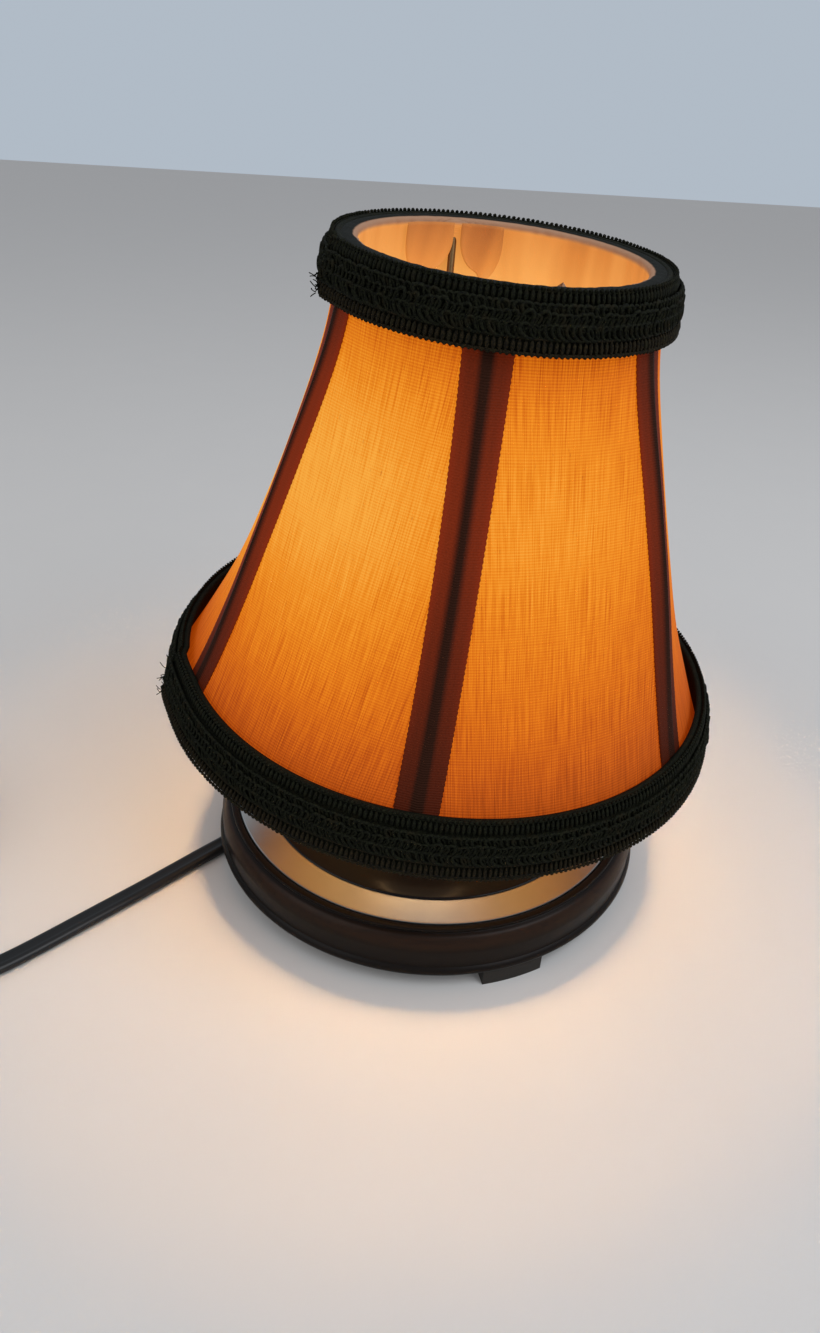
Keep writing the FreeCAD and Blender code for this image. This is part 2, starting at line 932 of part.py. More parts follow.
def leaned(shape):
    shape = shape.copy()
    pivot = V(0, 0, clip_height)
    shape.rotate(pivot, V(1, 0, 0), lean_front)
    shape.rotate(pivot, V(0, 1, 0), lean_right)
    return shape


def clip_axes():
    along = polar(1, clip_angle)
    return along, polar(1, clip_angle + 90)


def bridge_distance():
    return bulb_profile(clip_height) + clip_wire_radius + clip_bulb_clearance


def clip_spot(a, b, z):
    """A point counted from the clip's middle: along the arms, across them and up."""
    along, across = clip_axes()
    return along * a + across * b + V(0, 0, clip_height + z)


def clip_hoop(side):
    """Half of the clip's loop of wire: from the middle of one bridge, down round a hoop, to the other."""
    reach = bridge_distance()
    far = side * hoop_distance
    points = [
        clip_spot(reach, 0, 0),
        clip_spot(reach, far, 0),
        clip_spot(reach, far, -hoop_drop),
        clip_spot(-reach, far, -hoop_drop),
        clip_spot(-reach, far, 0),
        clip_spot(-reach, 0, 0),
    ]
    edges = []
    here = points[0]
    half_root_share = math.sqrt(0.5)
    for before, corner, after in zip(points, points[1:], points[2:]):
        into = (corner - before).normalize() * hoop_corner
        out = (after - corner).normalize() * hoop_corner
        start, end = corner - into, corner + out
        middle = corner + (out - into) * (1 - half_root_share)
        edges.append(Part.LineSegment(here, start).toShape())
        edges.append(Part.Arc(start, middle, end).toShape())
        here = end
    edges.append(Part.LineSegment(here, points[-1]).toShape())
    section = round_section(points[0], points[1] - points[0], clip_wire_radius)
    return swept(Part.Wire(edges), section)


def clip_arm(side):
    """The arm from the middle of one bridge up and out to the top ring."""
    along, across = clip_axes()
    level = shade_height - ring_height
    ring_centre = sway(level) + V(shade_off_right, -shade_off_front, clip_height - rim_below_clip + level)
    inner = clip_spot(side * bridge_distance(), 0, 0)
    middle = inner + along * (side * arm_rise) + V(0, 0, 2 * arm_rise)
    outer = ring_centre + along * (side * ring_radius(level))
    arm = round_tube([tuple(inner), tuple(middle), tuple(outer)], clip_wire_radius, "clip arm")
    top_ring = top_ring_shape()
    top_ring.translate(V(shade_off_right, -shade_off_front, clip_height - rim_below_clip))
    return max(arm.cut(top_ring).Solids, key=lambda s: s.Volume)


def bulb_clip():
    """The loop of wire whose bridges rest on the bulb and whose hoops hang beside it, with its two arms."""
    return leaned(clip_hoop(-1).fuse([clip_hoop(1), clip_arm(-1), clip_arm(1)]).removeSplitter())


# Cord, switch, coil and plug


def cord_run():
    start, later = V(*cord_route[0]), V(*cord_route[3])
    heading = later - start
    return flat_tube(cord_route, V(-heading.y, heading.x, 0), "cord run")


def cord_link():
    return flat_tube(link_route, V(0, 1, 0), "cord link")


def cord_tail():
    return flat_tube(tail_route, V(1, 0, 0), "cord tail")


def coil_point(turn):
    """The centreline of the coil after that many turns, wound clockwise from its left side."""
    spiral = turn % (2 * coil_turns_per_layer)
    inward = min(spiral, 2 * coil_turns_per_layer - spiral)
    radius = coil_outer_radius - coil_turn_pitch * inward
    level = coil_level
    for layer in range(1, coil_layers):
        climb = turn - layer * coil_turns_per_layer + 0.25
        level += coil_layer_pitch * min(max(2 * climb, 0), 1)
    angle = math.pi * (1 - 2 * turn)
    return V(coil_x + radius * math.cos(angle), coil_y + radius * math.sin(angle), level)


def biarc(start, start_way, end, end_way):
    """Two arcs that leave start and reach end in the given directions."""
    span = end - start
    both = start_way + end_way
    spread = 2 * (1 - start_way.dot(end_way))
    along = span.dot(both)
    reach = (math.sqrt(along * along + spread * span.dot(span)) - along) / spread
    first, second = start + start_way * reach, end - end_way * reach
    middle = (first + second) * 0.5
    return [arc_by(start, first, middle), arc_by(middle, second, end)]


def arc_by(start, corner, end):
    """The arc from start to end whose end tangents meet at the corner."""
    half = (end - start) * 0.5
    foot = start + half
    rise = corner - foot
    reach = (corner - start).Length
    radius = half.Length * reach / rise.Length
    away = math.hypot(radius, reach) - radius
    through = corner - rise * (away / rise.Length)
    return Part.Arc(start, through, end).toShape()


def cord_coil():
    turns = coil_turns_per_layer * coil_layers
    steps = 4 * turns
    small = 0.01
    nodes = [coil_point(turns * k / steps) for k in range(steps + 1)]
    ways = [V(0, 1, 0)]
    for k in range(1, steps):
        turn = turns * k / steps
        ways.append((coil_point(turn + small) - coil_point(turn - small)).normalize())
    ways.append(V(0, 1, 0))
    start, end = nodes[0] - V(0, cord_width, 0), nodes[-1] + V(0, cord_width, 0)
    edges = [Part.LineSegment(start, nodes[0]).toShape()]
    for k in range(steps):
        edges += biarc(nodes[k], ways[k], nodes[k + 1], ways[k + 1])
    edges.append(Part.LineSegment(nodes[-1], end).toShape())
    path = Part.Wire(edges)
    coil = swept(path, flat_section(start, V(0, 1, 0), V(1, 0, 0)))
    area = math.pi * cord_width * cord_thickness / 4
    print("coil length", round(path.Length, 1), "volume share", round(coil.Volume / (area * path.Length), 4))
    print("coil least gap to itself", round(least_gap(edges), 2))
    return coil


def least_gap(edges):
    """The least gap between two turns of the flat cord, measured on points along its centreline."""
    points, places, along = [], [], 0.0
    for edge in edges:
        for point in edge.discretize(Number=12)[:-1]:
            points.append(point)
        step = edge.Length / 11
        places += [along + step * k for k in range(11)]
        along += edge.Length
    least = cord_width
    for i, first in enumerate(points):
        for j in range(i + 1, len(points)):
            if places[j] - places[i] < 4 * cord_width:
                continue
            apart = points[j] - first
            distance = apart.Length
            if distance > 2 * cord_width:
                continue
            flat = math.hypot(apart.x, apart.y) / cord_width
            size = math.hypot(flat, apart.z / cord_thickness)
            least = min(least, distance * (1 - 1 / size))
    return least


def rounded_block(width, height, length, corner, centre):
    """A block along Y whose long edges are rounded."""
    block = Part.makeBox(
        width, length, height, V(centre.x - width / 2, centre.y - length / 2, centre.z - height / 2)
    )
    long_edges = [e for e in block.Edges if abs(e.tangentAt(e.FirstParameter).y) > 0.9]
    return block.makeFillet(corner, long_edges)


def coil_tie():
    inner_radius = coil_outer_radius - coil_turn_pitch * coil_turns_per_layer - cord_width / 2
    outer_radius = coil_outer_radius + cord_width / 2
    stack = coil_layer_pitch * (coil_layers - 1) + cord_thickness
    width = outer_radius - inner_radius + 2 * tie_gap
    height = stack + 2 * tie_gap
    centre = V(coil_x + (inner_radius + outer_radius) / 2, coil_y, coil_lift + stack / 2)
    outside = rounded_block(
        width + 2 * tie_thickness, height + 2 * tie_thickness, tie_width, tie_corner + tie_thickness, centre
    )
    inside = rounded_block(width, height, tie_width + 2 * overrun, tie_corner, centre)
    return outside.cut(inside)


def switch_centre():
    x, y, z = cord_route[-1]
    return V(x - switch_length / 2, y, z)


def wheel_centre():
    offset = switch_width / 2 + wheel_proud - wheel_radius
    return switch_centre() + V(0, offset, 0)


def switch_half(upper):
    centre = switch_centre()
    low = centre.z if upper else centre.z - switch_half_height
    block = Part.makeBox(
        switch_length, switch_width, switch_half_height,
        V(centre.x - switch_length / 2, centre.y - switch_width / 2, low),
    )
    upright = [e for e in block.Edges if abs(e.tangentAt(e.FirstParameter).z) > 0.9]
    block = block.makeFillet(switch_end_radius, upright)
    outer = centre.z + (switch_half_height if upper else -switch_half_height)
    rim = [e for e in block.Edges if abs(e.BoundBox.ZMin - outer) < seat_gap and abs(e.BoundBox.ZMax - outer) < seat_gap]
    block = block.makeFillet(overrun, rim)
    pocket_half = wheel_thickness / 2 + wheel_pocket_clearance
    middle = wheel_centre()
    pocket = Part.makeCylinder(
        wheel_radius + wheel_pocket_clearance, 2 * pocket_half, V(middle.x, middle.y, middle.z - pocket_half)
    )
    block = block.cut(pocket)
    if not upper:
        pin = Part.makeCylinder(
            wheel_pin_radius, 2 * pocket_half, V(middle.x, middle.y, middle.z - pocket_half)
        )
        block = block.fuse(pin).removeSplitter()
    for place in switch_screw_places():
        block = block.cut(switch_screw(place, screw_clearance))
    return block


def switch_screw_places():
    centre = switch_centre()
    top = centre.z + switch_half_height
    offset = switch_width / 5
    return [V(centre.x + side * switch_screw_offset, centre.y - offset, top) for side in (-1, 1)]


def switch_screw(place, grow):
    head_low = place.z - switch_screw_head_height - grow
    head = cylinder(
        switch_screw_head_radius + grow, head_low, place.z + (overrun if grow else 0), place.x, place.y
    )
    shank = cylinder(
        switch_screw_radius + grow, place.z - switch_screw_length - grow, place.z, place.x, place.y
    )
    return head.fuse(shank).removeSplitter()


def switch_screws():
    return Part.makeCompound([switch_screw(place, 0) for place in switch_screw_places()])


def switch_wheel():
    middle = wheel_centre()
    bottom = middle.z - wheel_thickness / 2
    wheel = cylinder(wheel_radius, bottom, bottom + wheel_thickness, middle.x, middle.y)
    notch_radius = 2 * wheel_tooth_depth
    for k in range(wheel_tooth_count):
        at = middle + polar(wheel_radius + notch_radius - wheel_tooth_depth, 360 / wheel_tooth_count * k)
        wheel = wheel.cut(cylinder(notch_radius, bottom - overrun, bottom + wheel_thickness + overrun, at.x, at.y))
    bore = cylinder(
        wheel_pin_radius + running_clearance,
        bottom - overrun, bottom + wheel_thickness + overrun, middle.x, middle.y,
    )
    return wheel.cut(bore)


def plug_start():
    return V(*tail_route[-1])


def plug_body():
    start = plug_start()
    relief = Part.makeCone(
        cord_width / 2 + seat_gap, plug_relief_radius, plug_relief_length, start, V(0, 1, 0)
    )
    root = start.y + plug_relief_length
    half, nose = plug_body_width / 2, plug_nose_width / 2
    low = start.z - plug_body_height / 2
    face = root + plug_body_length
    corners = [
        V(start.x - nose, root, low),
        V(start.x - half, face - plug_corner, low),
        V(start.x - half, face, low),
        V(start.x + half, face, low),
        V(start.x + half, face - plug_corner, low),
        V(start.x + nose, root, low),
    ]
    block = Part.Face(Part.makePolygon(corners + [corners[0]])).extrude(V(0, 0, plug_body_height))
    rims = [e for e in block.Edges if e.BoundBox.ZLength < seat_gap and e.BoundBox.YMax < face - seat_gap]
    block = block.makeFillet(plug_corner, rims)
    body = relief.fuse(block).removeSplitter()
    for blade in blades(overrun):
        body = body.cut(blade)
    return body


def blades(root_depth):
    start = plug_start()
    face = start.y + plug_relief_length + plug_body_length
    made = []
    for side in (-1, 1):
        corner = V(
            start.x + side * blade_spacing / 2 - blade_thickness / 2,
            face - plug_body_length / 2,
            start.z - blade_width / 2,
        )
        length = blade_length + plug_body_length / 2
        made.append(Part.makeBox(blade_thickness, length, blade_width, corner))
    return made


def plug_blades():
    return Part.makeCompound(blades(0))


def nodes():
    """Every piece of the lamp by name."""
    made = {
        "base_body": base_body(),
        "base_screws": base_screws(),
        "nickel_plate": nickel_plate(),
        "black_disc": black_disc(),
        "bottom_plate": bottom_plate(),
        "cord_grommet": cord_grommet(),
        "threaded_nipple": threaded_nipple(),
        "nipple_nuts": nipple_nuts(),
        "candle_cup": candle_cup(),
        "candle_sleeve": candle_sleeve(),
        "socket_bracket": socket_bracket(),
        "socket_body": socket_body(),
        "socket_shell": socket_shell(),
        "socket_contact": socket_contact(),
        "terminal_screws": terminal_screws(),
        "cord_leads": cord_leads(),
        "bulb_contact": bulb_contact(),
        "bulb_cap": bulb_cap(),
        "bulb_glass": bulb_glass(),
        "bulb_filament": bulb_filament(),
        "shade_bottom_ring": placed(bottom_ring_shape()),
        "shade_top_ring": placed(top_ring_shape()),
        "shade_lining": shade_lining(),
        "bottom_trim": trim(
            -trim_hem,
            bottom_trim_height,
            bottom_trim_low_stand_off,
            bottom_trim_high_stand_off,
        ),
        "top_trim": trim(
            shade_height - top_trim_height,
            shade_height + trim_hem,
            top_trim_low_stand_off,
            top_trim_high_stand_off,
        ),
        "bulb_clip": bulb_clip(),
        "cord_run": cord_run(),
        "switch_lower": switch_half(False),
        "switch_upper": switch_half(True),
        "switch_wheel": switch_wheel(),
        "switch_screws": switch_screws(),
        "cord_link": cord_link(),
        "cord_coil": cord_coil(),
        "coil_tie": coil_tie(),
        "cord_tail": cord_tail(),
        "plug_body": plug_body(),
        "plug_blades": plug_blades(),
    }
    for i in range(foot_count):
        made[f"foot_{i + 1}"] = foot(i)
    for i in range(rib_count):
        made[f"shade_rib_{i + 1}"] = shade_rib(i)
        made[f"shade_panel_{i + 1}"] = shade_panel(i)
        made[f"ribbon_{i + 1}"] = ribbon(i)
    return made


os.makedirs("parts", exist_ok=True)
for name, shape in nodes().items():
    shape.exportStep(f"parts/{name}.step")
    if not shape.isValid():
        print("not valid:", name)
print("glass from", round(glass_bottom, 2), "to", round(bulb_tip, 2))
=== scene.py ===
import math
import random

import bmesh
import bpy
from mathutils import Matrix, Vector, noise


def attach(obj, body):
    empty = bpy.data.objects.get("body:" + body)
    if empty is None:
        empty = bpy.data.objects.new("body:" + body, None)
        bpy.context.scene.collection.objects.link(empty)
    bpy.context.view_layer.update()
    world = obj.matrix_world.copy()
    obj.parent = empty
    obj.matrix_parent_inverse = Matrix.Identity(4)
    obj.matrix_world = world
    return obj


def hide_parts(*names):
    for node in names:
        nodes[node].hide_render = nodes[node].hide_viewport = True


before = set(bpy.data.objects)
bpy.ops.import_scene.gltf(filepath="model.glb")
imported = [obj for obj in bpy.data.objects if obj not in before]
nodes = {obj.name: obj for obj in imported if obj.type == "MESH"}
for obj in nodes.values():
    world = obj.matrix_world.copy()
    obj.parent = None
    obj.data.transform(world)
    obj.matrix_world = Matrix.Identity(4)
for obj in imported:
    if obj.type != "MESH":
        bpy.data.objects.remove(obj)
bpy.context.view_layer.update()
mm = 0.001  # the pieces' sizes are in millimetres, shader and light values in metres

# the camera comes first: it looks down on the lamp from the photograph's own place

cameraSetup = {
    "place": (-0.0078, -0.21966, 0.19462),
    "tiltDown": 31.64,
    "roll": 3.35,
    "focalPixels": 900.0,
    "frameHeight": 1333.0,
    "sensor": 36.0,
    "nearest": 0.01,
}


def addCamera(setup):
    tilt, roll = math.radians(setup["tiltDown"]), math.radians(setup["roll"])
    forward = Vector((0, math.cos(tilt), -math.sin(tilt)))
    upright = Vector((0, math.sin(tilt), math.cos(tilt)))
    level = Vector((1, 0, 0))
    right = level * math.cos(roll) + upright * math.sin(roll)
    up = upright * math.cos(roll) - level * math.sin(roll)
    lens = bpy.data.cameras.new("lampCamera")
    lens.sensor_width = setup["sensor"]
    lens.lens = setup["sensor"] * setup["focalPixels"] / setup["frameHeight"]
    lens.clip_start = setup["nearest"]
    camera = bpy.data.objects.new("lampCamera", lens)
    turn = Matrix((right, up, -forward)).transposed().to_4x4()
    camera.matrix_world = Matrix.Translation(setup["place"]) @ turn
    bpy.context.scene.collection.objects.link(camera)
    bpy.context.scene.camera = camera


addCamera(cameraSetup)


# node maths: a socket that takes plain arithmetic, and a graph that makes any node

class Socket:
    def __init__(self, graph, plug):
        self.graph, self.plug = graph, plug

    def maths(self, operation, other=0.0, swapped=False):
        pair = (other, self) if swapped else (self, other)
        return self.graph.node("ShaderNodeMath", {"operation": operation}, {0: pair[0], 1: pair[1]})

    def __add__(self, other):
        return self.maths("ADD", other)

    def __sub__(self, other):
        return self.maths("SUBTRACT", other)

    def __rsub__(self, other):
        return self.maths("SUBTRACT", other, True)

    def __mul__(self, other):
        return self.maths("MULTIPLY", other)

    def __truediv__(self, other):
        return self.maths("DIVIDE", other)

    def __rtruediv__(self, other):
        return self.maths("DIVIDE", other, True)

    def __pow__(self, other):
        return self.maths("POWER", other)

    __radd__ = __add__
    __rmul__ = __mul__

    def wave(self, pitch):
        return (self * (2 * math.pi / pitch)).maths("SINE")

    def size(self):
        return self.maths("ABSOLUTE")

    def atLeast(self, floorValue):
        return self.maths("MAXIMUM", floorValue)

    def atMost(self, topValue):
        return self.maths("MINIMUM", topValue)

    def ramp(self, low, high):
        return self.graph.node("ShaderNodeMapRange", {"interpolation_type": "SMOOTHSTEP"},
                               {"Value": self, "From Min": low, "From Max": high})


class Graph:
    def __init__(self, tree):
        self.tree = tree
        tree.nodes.clear()

    def add(self, kind, settings=None, inputs=None):
        made = self.tree.nodes.new(kind)
        for key, value in (settings or {}).items():
            if key == "stops":
                self.setStops(made.color_ramp, value)
            else:
                setattr(made, key, value)
        for key, value in (inputs or {}).items():
            self.feed(made.inputs[key], value)
        return made

    def node(self, kind, settings=None, inputs=None, out=0):
        return Socket(self, self.add(kind, settings, inputs).outputs[out])

    def setStops(self, ramp, stops):
        while len(ramp.elements) < len(stops):
            ramp.elements.new(0.5)
        for element, (place, colour) in zip(ramp.elements, stops):
            element.position = place
            element.color = (*colour, 1)

    def feed(self, socket, value):
        if isinstance(value, Socket):
            self.tree.links.new(value.plug, socket)
        elif socket.type == "RGBA" and len(value) == 3:
            socket.default_value = (*value, 1)
        else:
            socket.default_value = value

    def join(self, x, y, z):
        return self.node("ShaderNodeCombineXYZ", None, {0: x, 1: y, 2: z})


class Finish(Graph):
    def __init__(self, name):
        self.material = bpy.data.materials.new(name)
        self.material.use_nodes = True
        super().__init__(self.material.node_tree)

    def place(self):
        return self.node("ShaderNodeTexCoord", out=3)  # object coordinates

    def clothPlace(self):
        return self.node("ShaderNodeUVMap", {"uv_map": "clothMap"})

    def split(self, vector):
        apart = self.add("ShaderNodeSeparateXYZ", None, {0: vector})
        return [Socket(self, plug) for plug in apart.outputs]

    def length(self, vector):
        return self.node("ShaderNodeVectorMath", {"operation": "LENGTH"}, {0: vector}, 1)

    def grain(self, vector, scale, detail=3.0, rough=0.55):
        return self.node("ShaderNodeTexNoise", None,
                         {"Vector": vector, "Scale": scale, "Detail": detail, "Roughness": rough})

    def mix(self, share, first, second):
        return self.node("ShaderNodeMix", {"data_type": "RGBA"}, {0: share, 6: first, 7: second}, 2)

    def colours(self, share, stops):
        return self.node("ShaderNodeValToRGB", {"stops": stops}, {0: share})

    def bump(self, height, strength, distance):
        return self.node("ShaderNodeBump", None,
                         {"Height": height, "Strength": strength, "Distance": distance})

    def surface(self, **sockets):
        named = {}
        for key, value in sockets.items():
            title = "".join(" " + c if c.isupper() else c for c in key).replace("I O R", "IOR")
            named[title.strip()] = value
        shader = self.node("ShaderNodeBsdfPrincipled", None, named)
        self.add("ShaderNodeOutputMaterial", None, {"Surface": shader})
        return self.material


def dress(piece, material):
    piece.data.materials.clear()
    piece.data.materials.append(material)


# the lit bulb's glow on the cloth round it, falling off with distance

glow = {"low": 0.088, "high": 0.112, "near": 0.044}


def glowShare(finish):
    x, y, z = finish.split(finish.place())
    rise = z - z.atLeast(glow["low"]).atMost(glow["high"])
    return (glow["near"] / finish.length(finish.join(x, y, rise))) ** 2.0


# the shade's own shape, in millimetres, before it leans on the bulb

shadeShape = {
    "height": 114.1,
    "rimRadius": 74.3,
    "panels": 6,
    "firstRibAngle": 25.0,
    "heightShares": (0.0, 0.123, 0.28, 0.456, 0.631, 0.806, 0.907, 1.0),
    "radiusShares": (1.0, 0.914, 0.827, 0.735, 0.639, 0.542, 0.499, 0.477),
    "drawInShares": (0.0, 0.015, 0.05, 0.067, 0.067, 0.045, 0.02, 0.0),
    "slant": 1.055,
    "sway": 1.3,
    "clipHeight": 127.0,
    "offRight": 4.59,
    "offFront": 3.64,
    "leanFront": 3.793,
    "leanRight": 3.342,
    "rimBelowClip": 69.87,
}


def shadeLean():
    up = Vector((0, 0, shadeShape["clipHeight"])) * mm
    off = Vector((shadeShape["offRight"], -shadeShape["offFront"],
                  shadeShape["clipHeight"] - shadeShape["rimBelowClip"])) * mm
    front = Matrix.Rotation(math.radians(shadeShape["leanFront"]), 4, "X")
    right = Matrix.Rotation(math.radians(shadeShape["leanRight"]), 4, "Y")
    return (Matrix.Translation(up) @ right @ front @ Matrix.Translation(-up)
            @ Matrix.Translation(off))


def smoothCurve(share, shares, values):
    last = len(shares) - 1
    i = max(k for k in range(last) if shares[k] <= share or k == 0)

    def slope(k):
        low, high = max(k - 1, 0), min(k + 1, last)
        return (values[high] - values[low]) / (shares[high] - shares[low])

    span = shares[i + 1] - shares[i]
    t = (share - shares[i]) / span
    rise = values[i + 1] - values[i]
    first, second = slope(i) * span, slope(i + 1) * span
    return values[i] + t * (first + t * (3 * rise - 2 * first - second
                                         + t * (first + second - 2 * rise)))


def shareAt(height, shares):
    return smoothCurve(height / shadeShape["height"], shadeShape["heightShares"], shadeShape[shares])


def ribRadius(height):
    return shadeShape["rimRadius"] * shareAt(height, "radiusShares")


def sway(height):
    share = min(max(height / shadeShape["height"], 0), 1)
    return Vector((shadeShape["sway"] * 4 * share * (1 - share), 0, 0))


def slantLength(height):
    return height * shadeShape["slant"]


def turnsOf(count):
    return [2 * math.pi * k / count for k in range(count)]


def roundPoint(radius, height, angle):
    return Vector((radius * math.cos(angle), radius * math.sin(angle), height))


# each panel is an arc between two ribs, drawn in towards the middle

def panelPoint(height, offset, panel, share):
    half = math.pi / shadeShape["panels"]
    rib = ribRadius(height) + offset
    middle = rib * (1 - shareAt(height, "drawInShares"))
    centre = (rib * rib - middle * middle) / (2 * (rib * math.cos(half) - middle))
    radius = middle - centre
    spread = math.atan2(rib * math.sin(half), rib * math.cos(half) - centre)
    angle = spread * (2 * share - 1)
    along, across = centre + radius * math.cos(angle), radius * math.sin(angle)
    turn = math.radians(shadeShape["firstRibAngle"]) + half * (2 * panel + 1)
    return Vector((along * math.cos(turn) - across * math.sin(turn),
                   along * math.sin(turn) + across * math.cos(turn), height)) + sway(height)


# meshes

def newPiece(name, mesh):
    piece = bpy.data.objects.new(name, mesh)
    bpy.context.scene.collection.objects.link(piece)
    return piece


def sheetMesh(name, rows, uvRows=None, around=False, flip=False):
    wide = len(rows[0])
    across = wide if around else wide - 1
    faces = []
    for r in range(len(rows) - 1):
        for c in range(across):
            d = (c + 1) % wide
            face = [r * wide + c, r * wide + d, (r + 1) * wide + d, (r + 1) * wide + c]
            faces.append(face[::-1] if flip else face)
    mesh = bpy.data.meshes.new(name)
    mesh.from_pydata([tuple(p) for row in rows for p in row], [], faces)
    mesh.polygons.foreach_set("use_smooth", [True] * len(faces))
    if uvRows:
        layer = mesh.uv_layers.new(name="clothMap")
        for face in mesh.polygons:
            r, c = divmod(face.index, across)
            corners = [uvRows[r][c], uvRows[r][c + 1], uvRows[r + 1][c + 1], uvRows[r + 1][c]]
            for loop, uv in zip(face.loop_indices, corners[::-1] if flip else corners):
                layer.data[loop].uv = uv
    mesh.update()
    return newPiece(name, mesh)



def closedMesh(name, rows):
    return weldPiece(sheetMesh(name, rows + rows[:1], around=True))


def shownMesh(piece):
    seen = bpy.context.evaluated_depsgraph_get()
    seen.update()
    return bpy.data.meshes.new_from_object(piece.evaluated_get(seen))


def applyAll(piece):
    mesh = shownMesh(piece)
    piece.modifiers.clear()
    piece.data = mesh
    return piece


def thicken(piece, thickness):
    wall = piece.modifiers.new("wall", "SOLIDIFY")
    wall.thickness, wall.offset = thickness, -1.0
    wall.use_even_offset = True
    return applyAll(piece)


def weldPiece(piece):
    work = bmesh.new()
    work.from_mesh(piece.data)
    bmesh.ops.remove_doubles(work, verts=work.verts, dist=1e-7)
    bmesh.ops.recalc_face_normals(work, faces=work.faces)
    work.to_mesh(piece.data)
    work.free()
    return piece


# shade cloth: six slubbed panels, their threads along each panel's middle line

clothDetail = {
    "thickness": 0.5,
    "edge": 0.8,
    "rows": 90,
    "columns": 36,
    "pucker": 0.12,
    "puckerAcross": 5.0,
    "puckerLength": 22.0,
    "weftPitch": 0.00062,
    "warpPitch": 0.00047,
    "threadColour": (0.24, 0.06, 0.0065),
    "slubColour": (0.14, 0.032, 0.003),
    "fleckGlow": (0.25, 0.05, 0.004),
    "glowStops": [
        (0.26, (0.12, 0.008, 0.0002)), (0.38, (0.34, 0.044, 0.0006)), (0.5, (0.55, 0.12, 0.0015)),
        (0.64, (0.7, 0.225, 0.008)), (0.85, (0.77, 0.36, 0.046)),
    ],
}


def clothHeights(detail):
    low, high = detail["edge"], shadeShape["height"] - detail["edge"]
    return [low + (high - low) * k / (detail["rows"] - 1) for k in range(detail["rows"])]


def finishShadePiece(piece, finish):
    piece.data.transform(shadeLean())
    if finish:
        dress(piece, finish)
    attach(piece, "shade")


# a cloth piece: cellAt gives the place and the map's place of each of its points

def addCloth(name, detail, levels, cellAt, finish, flip=False):
    columns = detail["columns"]
    cells = [[cellAt(level, c / columns) for c in range(columns + 1)] for level in levels]
    rows = [[at * mm for at, uv in row] for row in cells]
    piece = sheetMesh(name, rows, [[uv for at, uv in row] for row in cells], flip=flip)
    finishShadePiece(thicken(piece, detail["thickness"] * mm), finish)
    return piece


def shadeClothFinish(detail):
    finish = Finish("slubCloth")
    u, v, _ = finish.split(finish.clothPlace())
    weft = v.wave(detail["weftPitch"]) * 0.5 + 0.5
    warp = u.wave(detail["warpPitch"]) * 0.5 + 0.5
    threads = finish.grain(finish.join(u * 4200.0, v * 78.0, 0.0), 1.0, 2.0)
    slubs = finish.grain(finish.join(u * 2400.0, v * 44.0, 4.0), 1.0, 1.0)
    weftRuns = finish.grain(finish.join(u * 90.0, v * 2400.0, 2.0), 1.0, 1.0)
    flecks = finish.grain(finish.join(u * 2300.0, v * 420.0, 9.0), 1.0, 1.0).ramp(0.71, 0.78)
    streaks = threads.ramp(0.36, 0.66) * 0.65 + slubs.ramp(0.52, 0.7) * 0.35
    thin = slubs.ramp(0.36, 0.26) * 0.1
    # the cloth's emission is the bulb's glow painted in: thick threads and slubs dim it, thin places and
    # flecks brighten it
    light = glowShare(finish) * (1.02 + thin - streaks * 0.25) * (0.84 + weft * 0.15 + weftRuns * 0.14)
    glowColour = finish.colours(light, detail["glowStops"])
    return finish.surface(
        BaseColor=finish.mix(streaks * 0.7, detail["threadColour"], detail["slubColour"]),
        Roughness=0.86,
        SpecularIORLevel=0.1,
        EmissionColor=finish.mix(flecks * 0.45, glowColour, detail["fleckGlow"]),
        EmissionStrength=1.0,
        Normal=finish.bump(weft * 0.6 + warp * 0.25 + streaks * 0.5, 0.35, 0.0004),
    )


def makeShadeCloth(detail):
    finish = shadeClothFinish(detail)
    for panel in range(shadeShape["panels"]):
        def cellAt(height, share):
            at = Vector((share * detail["puckerAcross"], height / detail["puckerLength"], panel * 3.7))
            ripple = noise.noise(at) * detail["pucker"] * math.sin(math.pi * share)
            spot = (ribRadius(height) * (share - 0.5) * mm + panel, slantLength(height) * mm)
            return panelPoint(height, ripple, panel, share), spot

        piece = addCloth(f"shadeCloth{panel + 1}", detail, clothHeights(detail), cellAt,
                         finish)
        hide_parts(f"shade_panel_{panel + 1}")


# ribbons down the ribs, a wire's dark shadow along their middle

ribbonDetail = {
    "width": 10.0,
    "thickness": 0.35,
    "standOff": 0.15,
    "edge": 1.5,
    "rows": 330,
    "columns": 12,
    "scallopPitch": 1.25,
    "scallopDepth": 0.09,
    "spine": 0.32,
    "spineWidth": 1.3,
    "ribPitch": 0.00055,
    "colours": ((0.016, 0.0048, 0.0022), (0.034, 0.0105, 0.0048)),
    "edgeGlow": (0.26, 0.02, 0.003),
    "glowStops": [
        (0.24, (0.002, 0.0004, 0.0002)), (0.42, (0.055, 0.0052, 0.0007)), (0.7, (0.16, 0.015, 0.0018)),
    ],
}


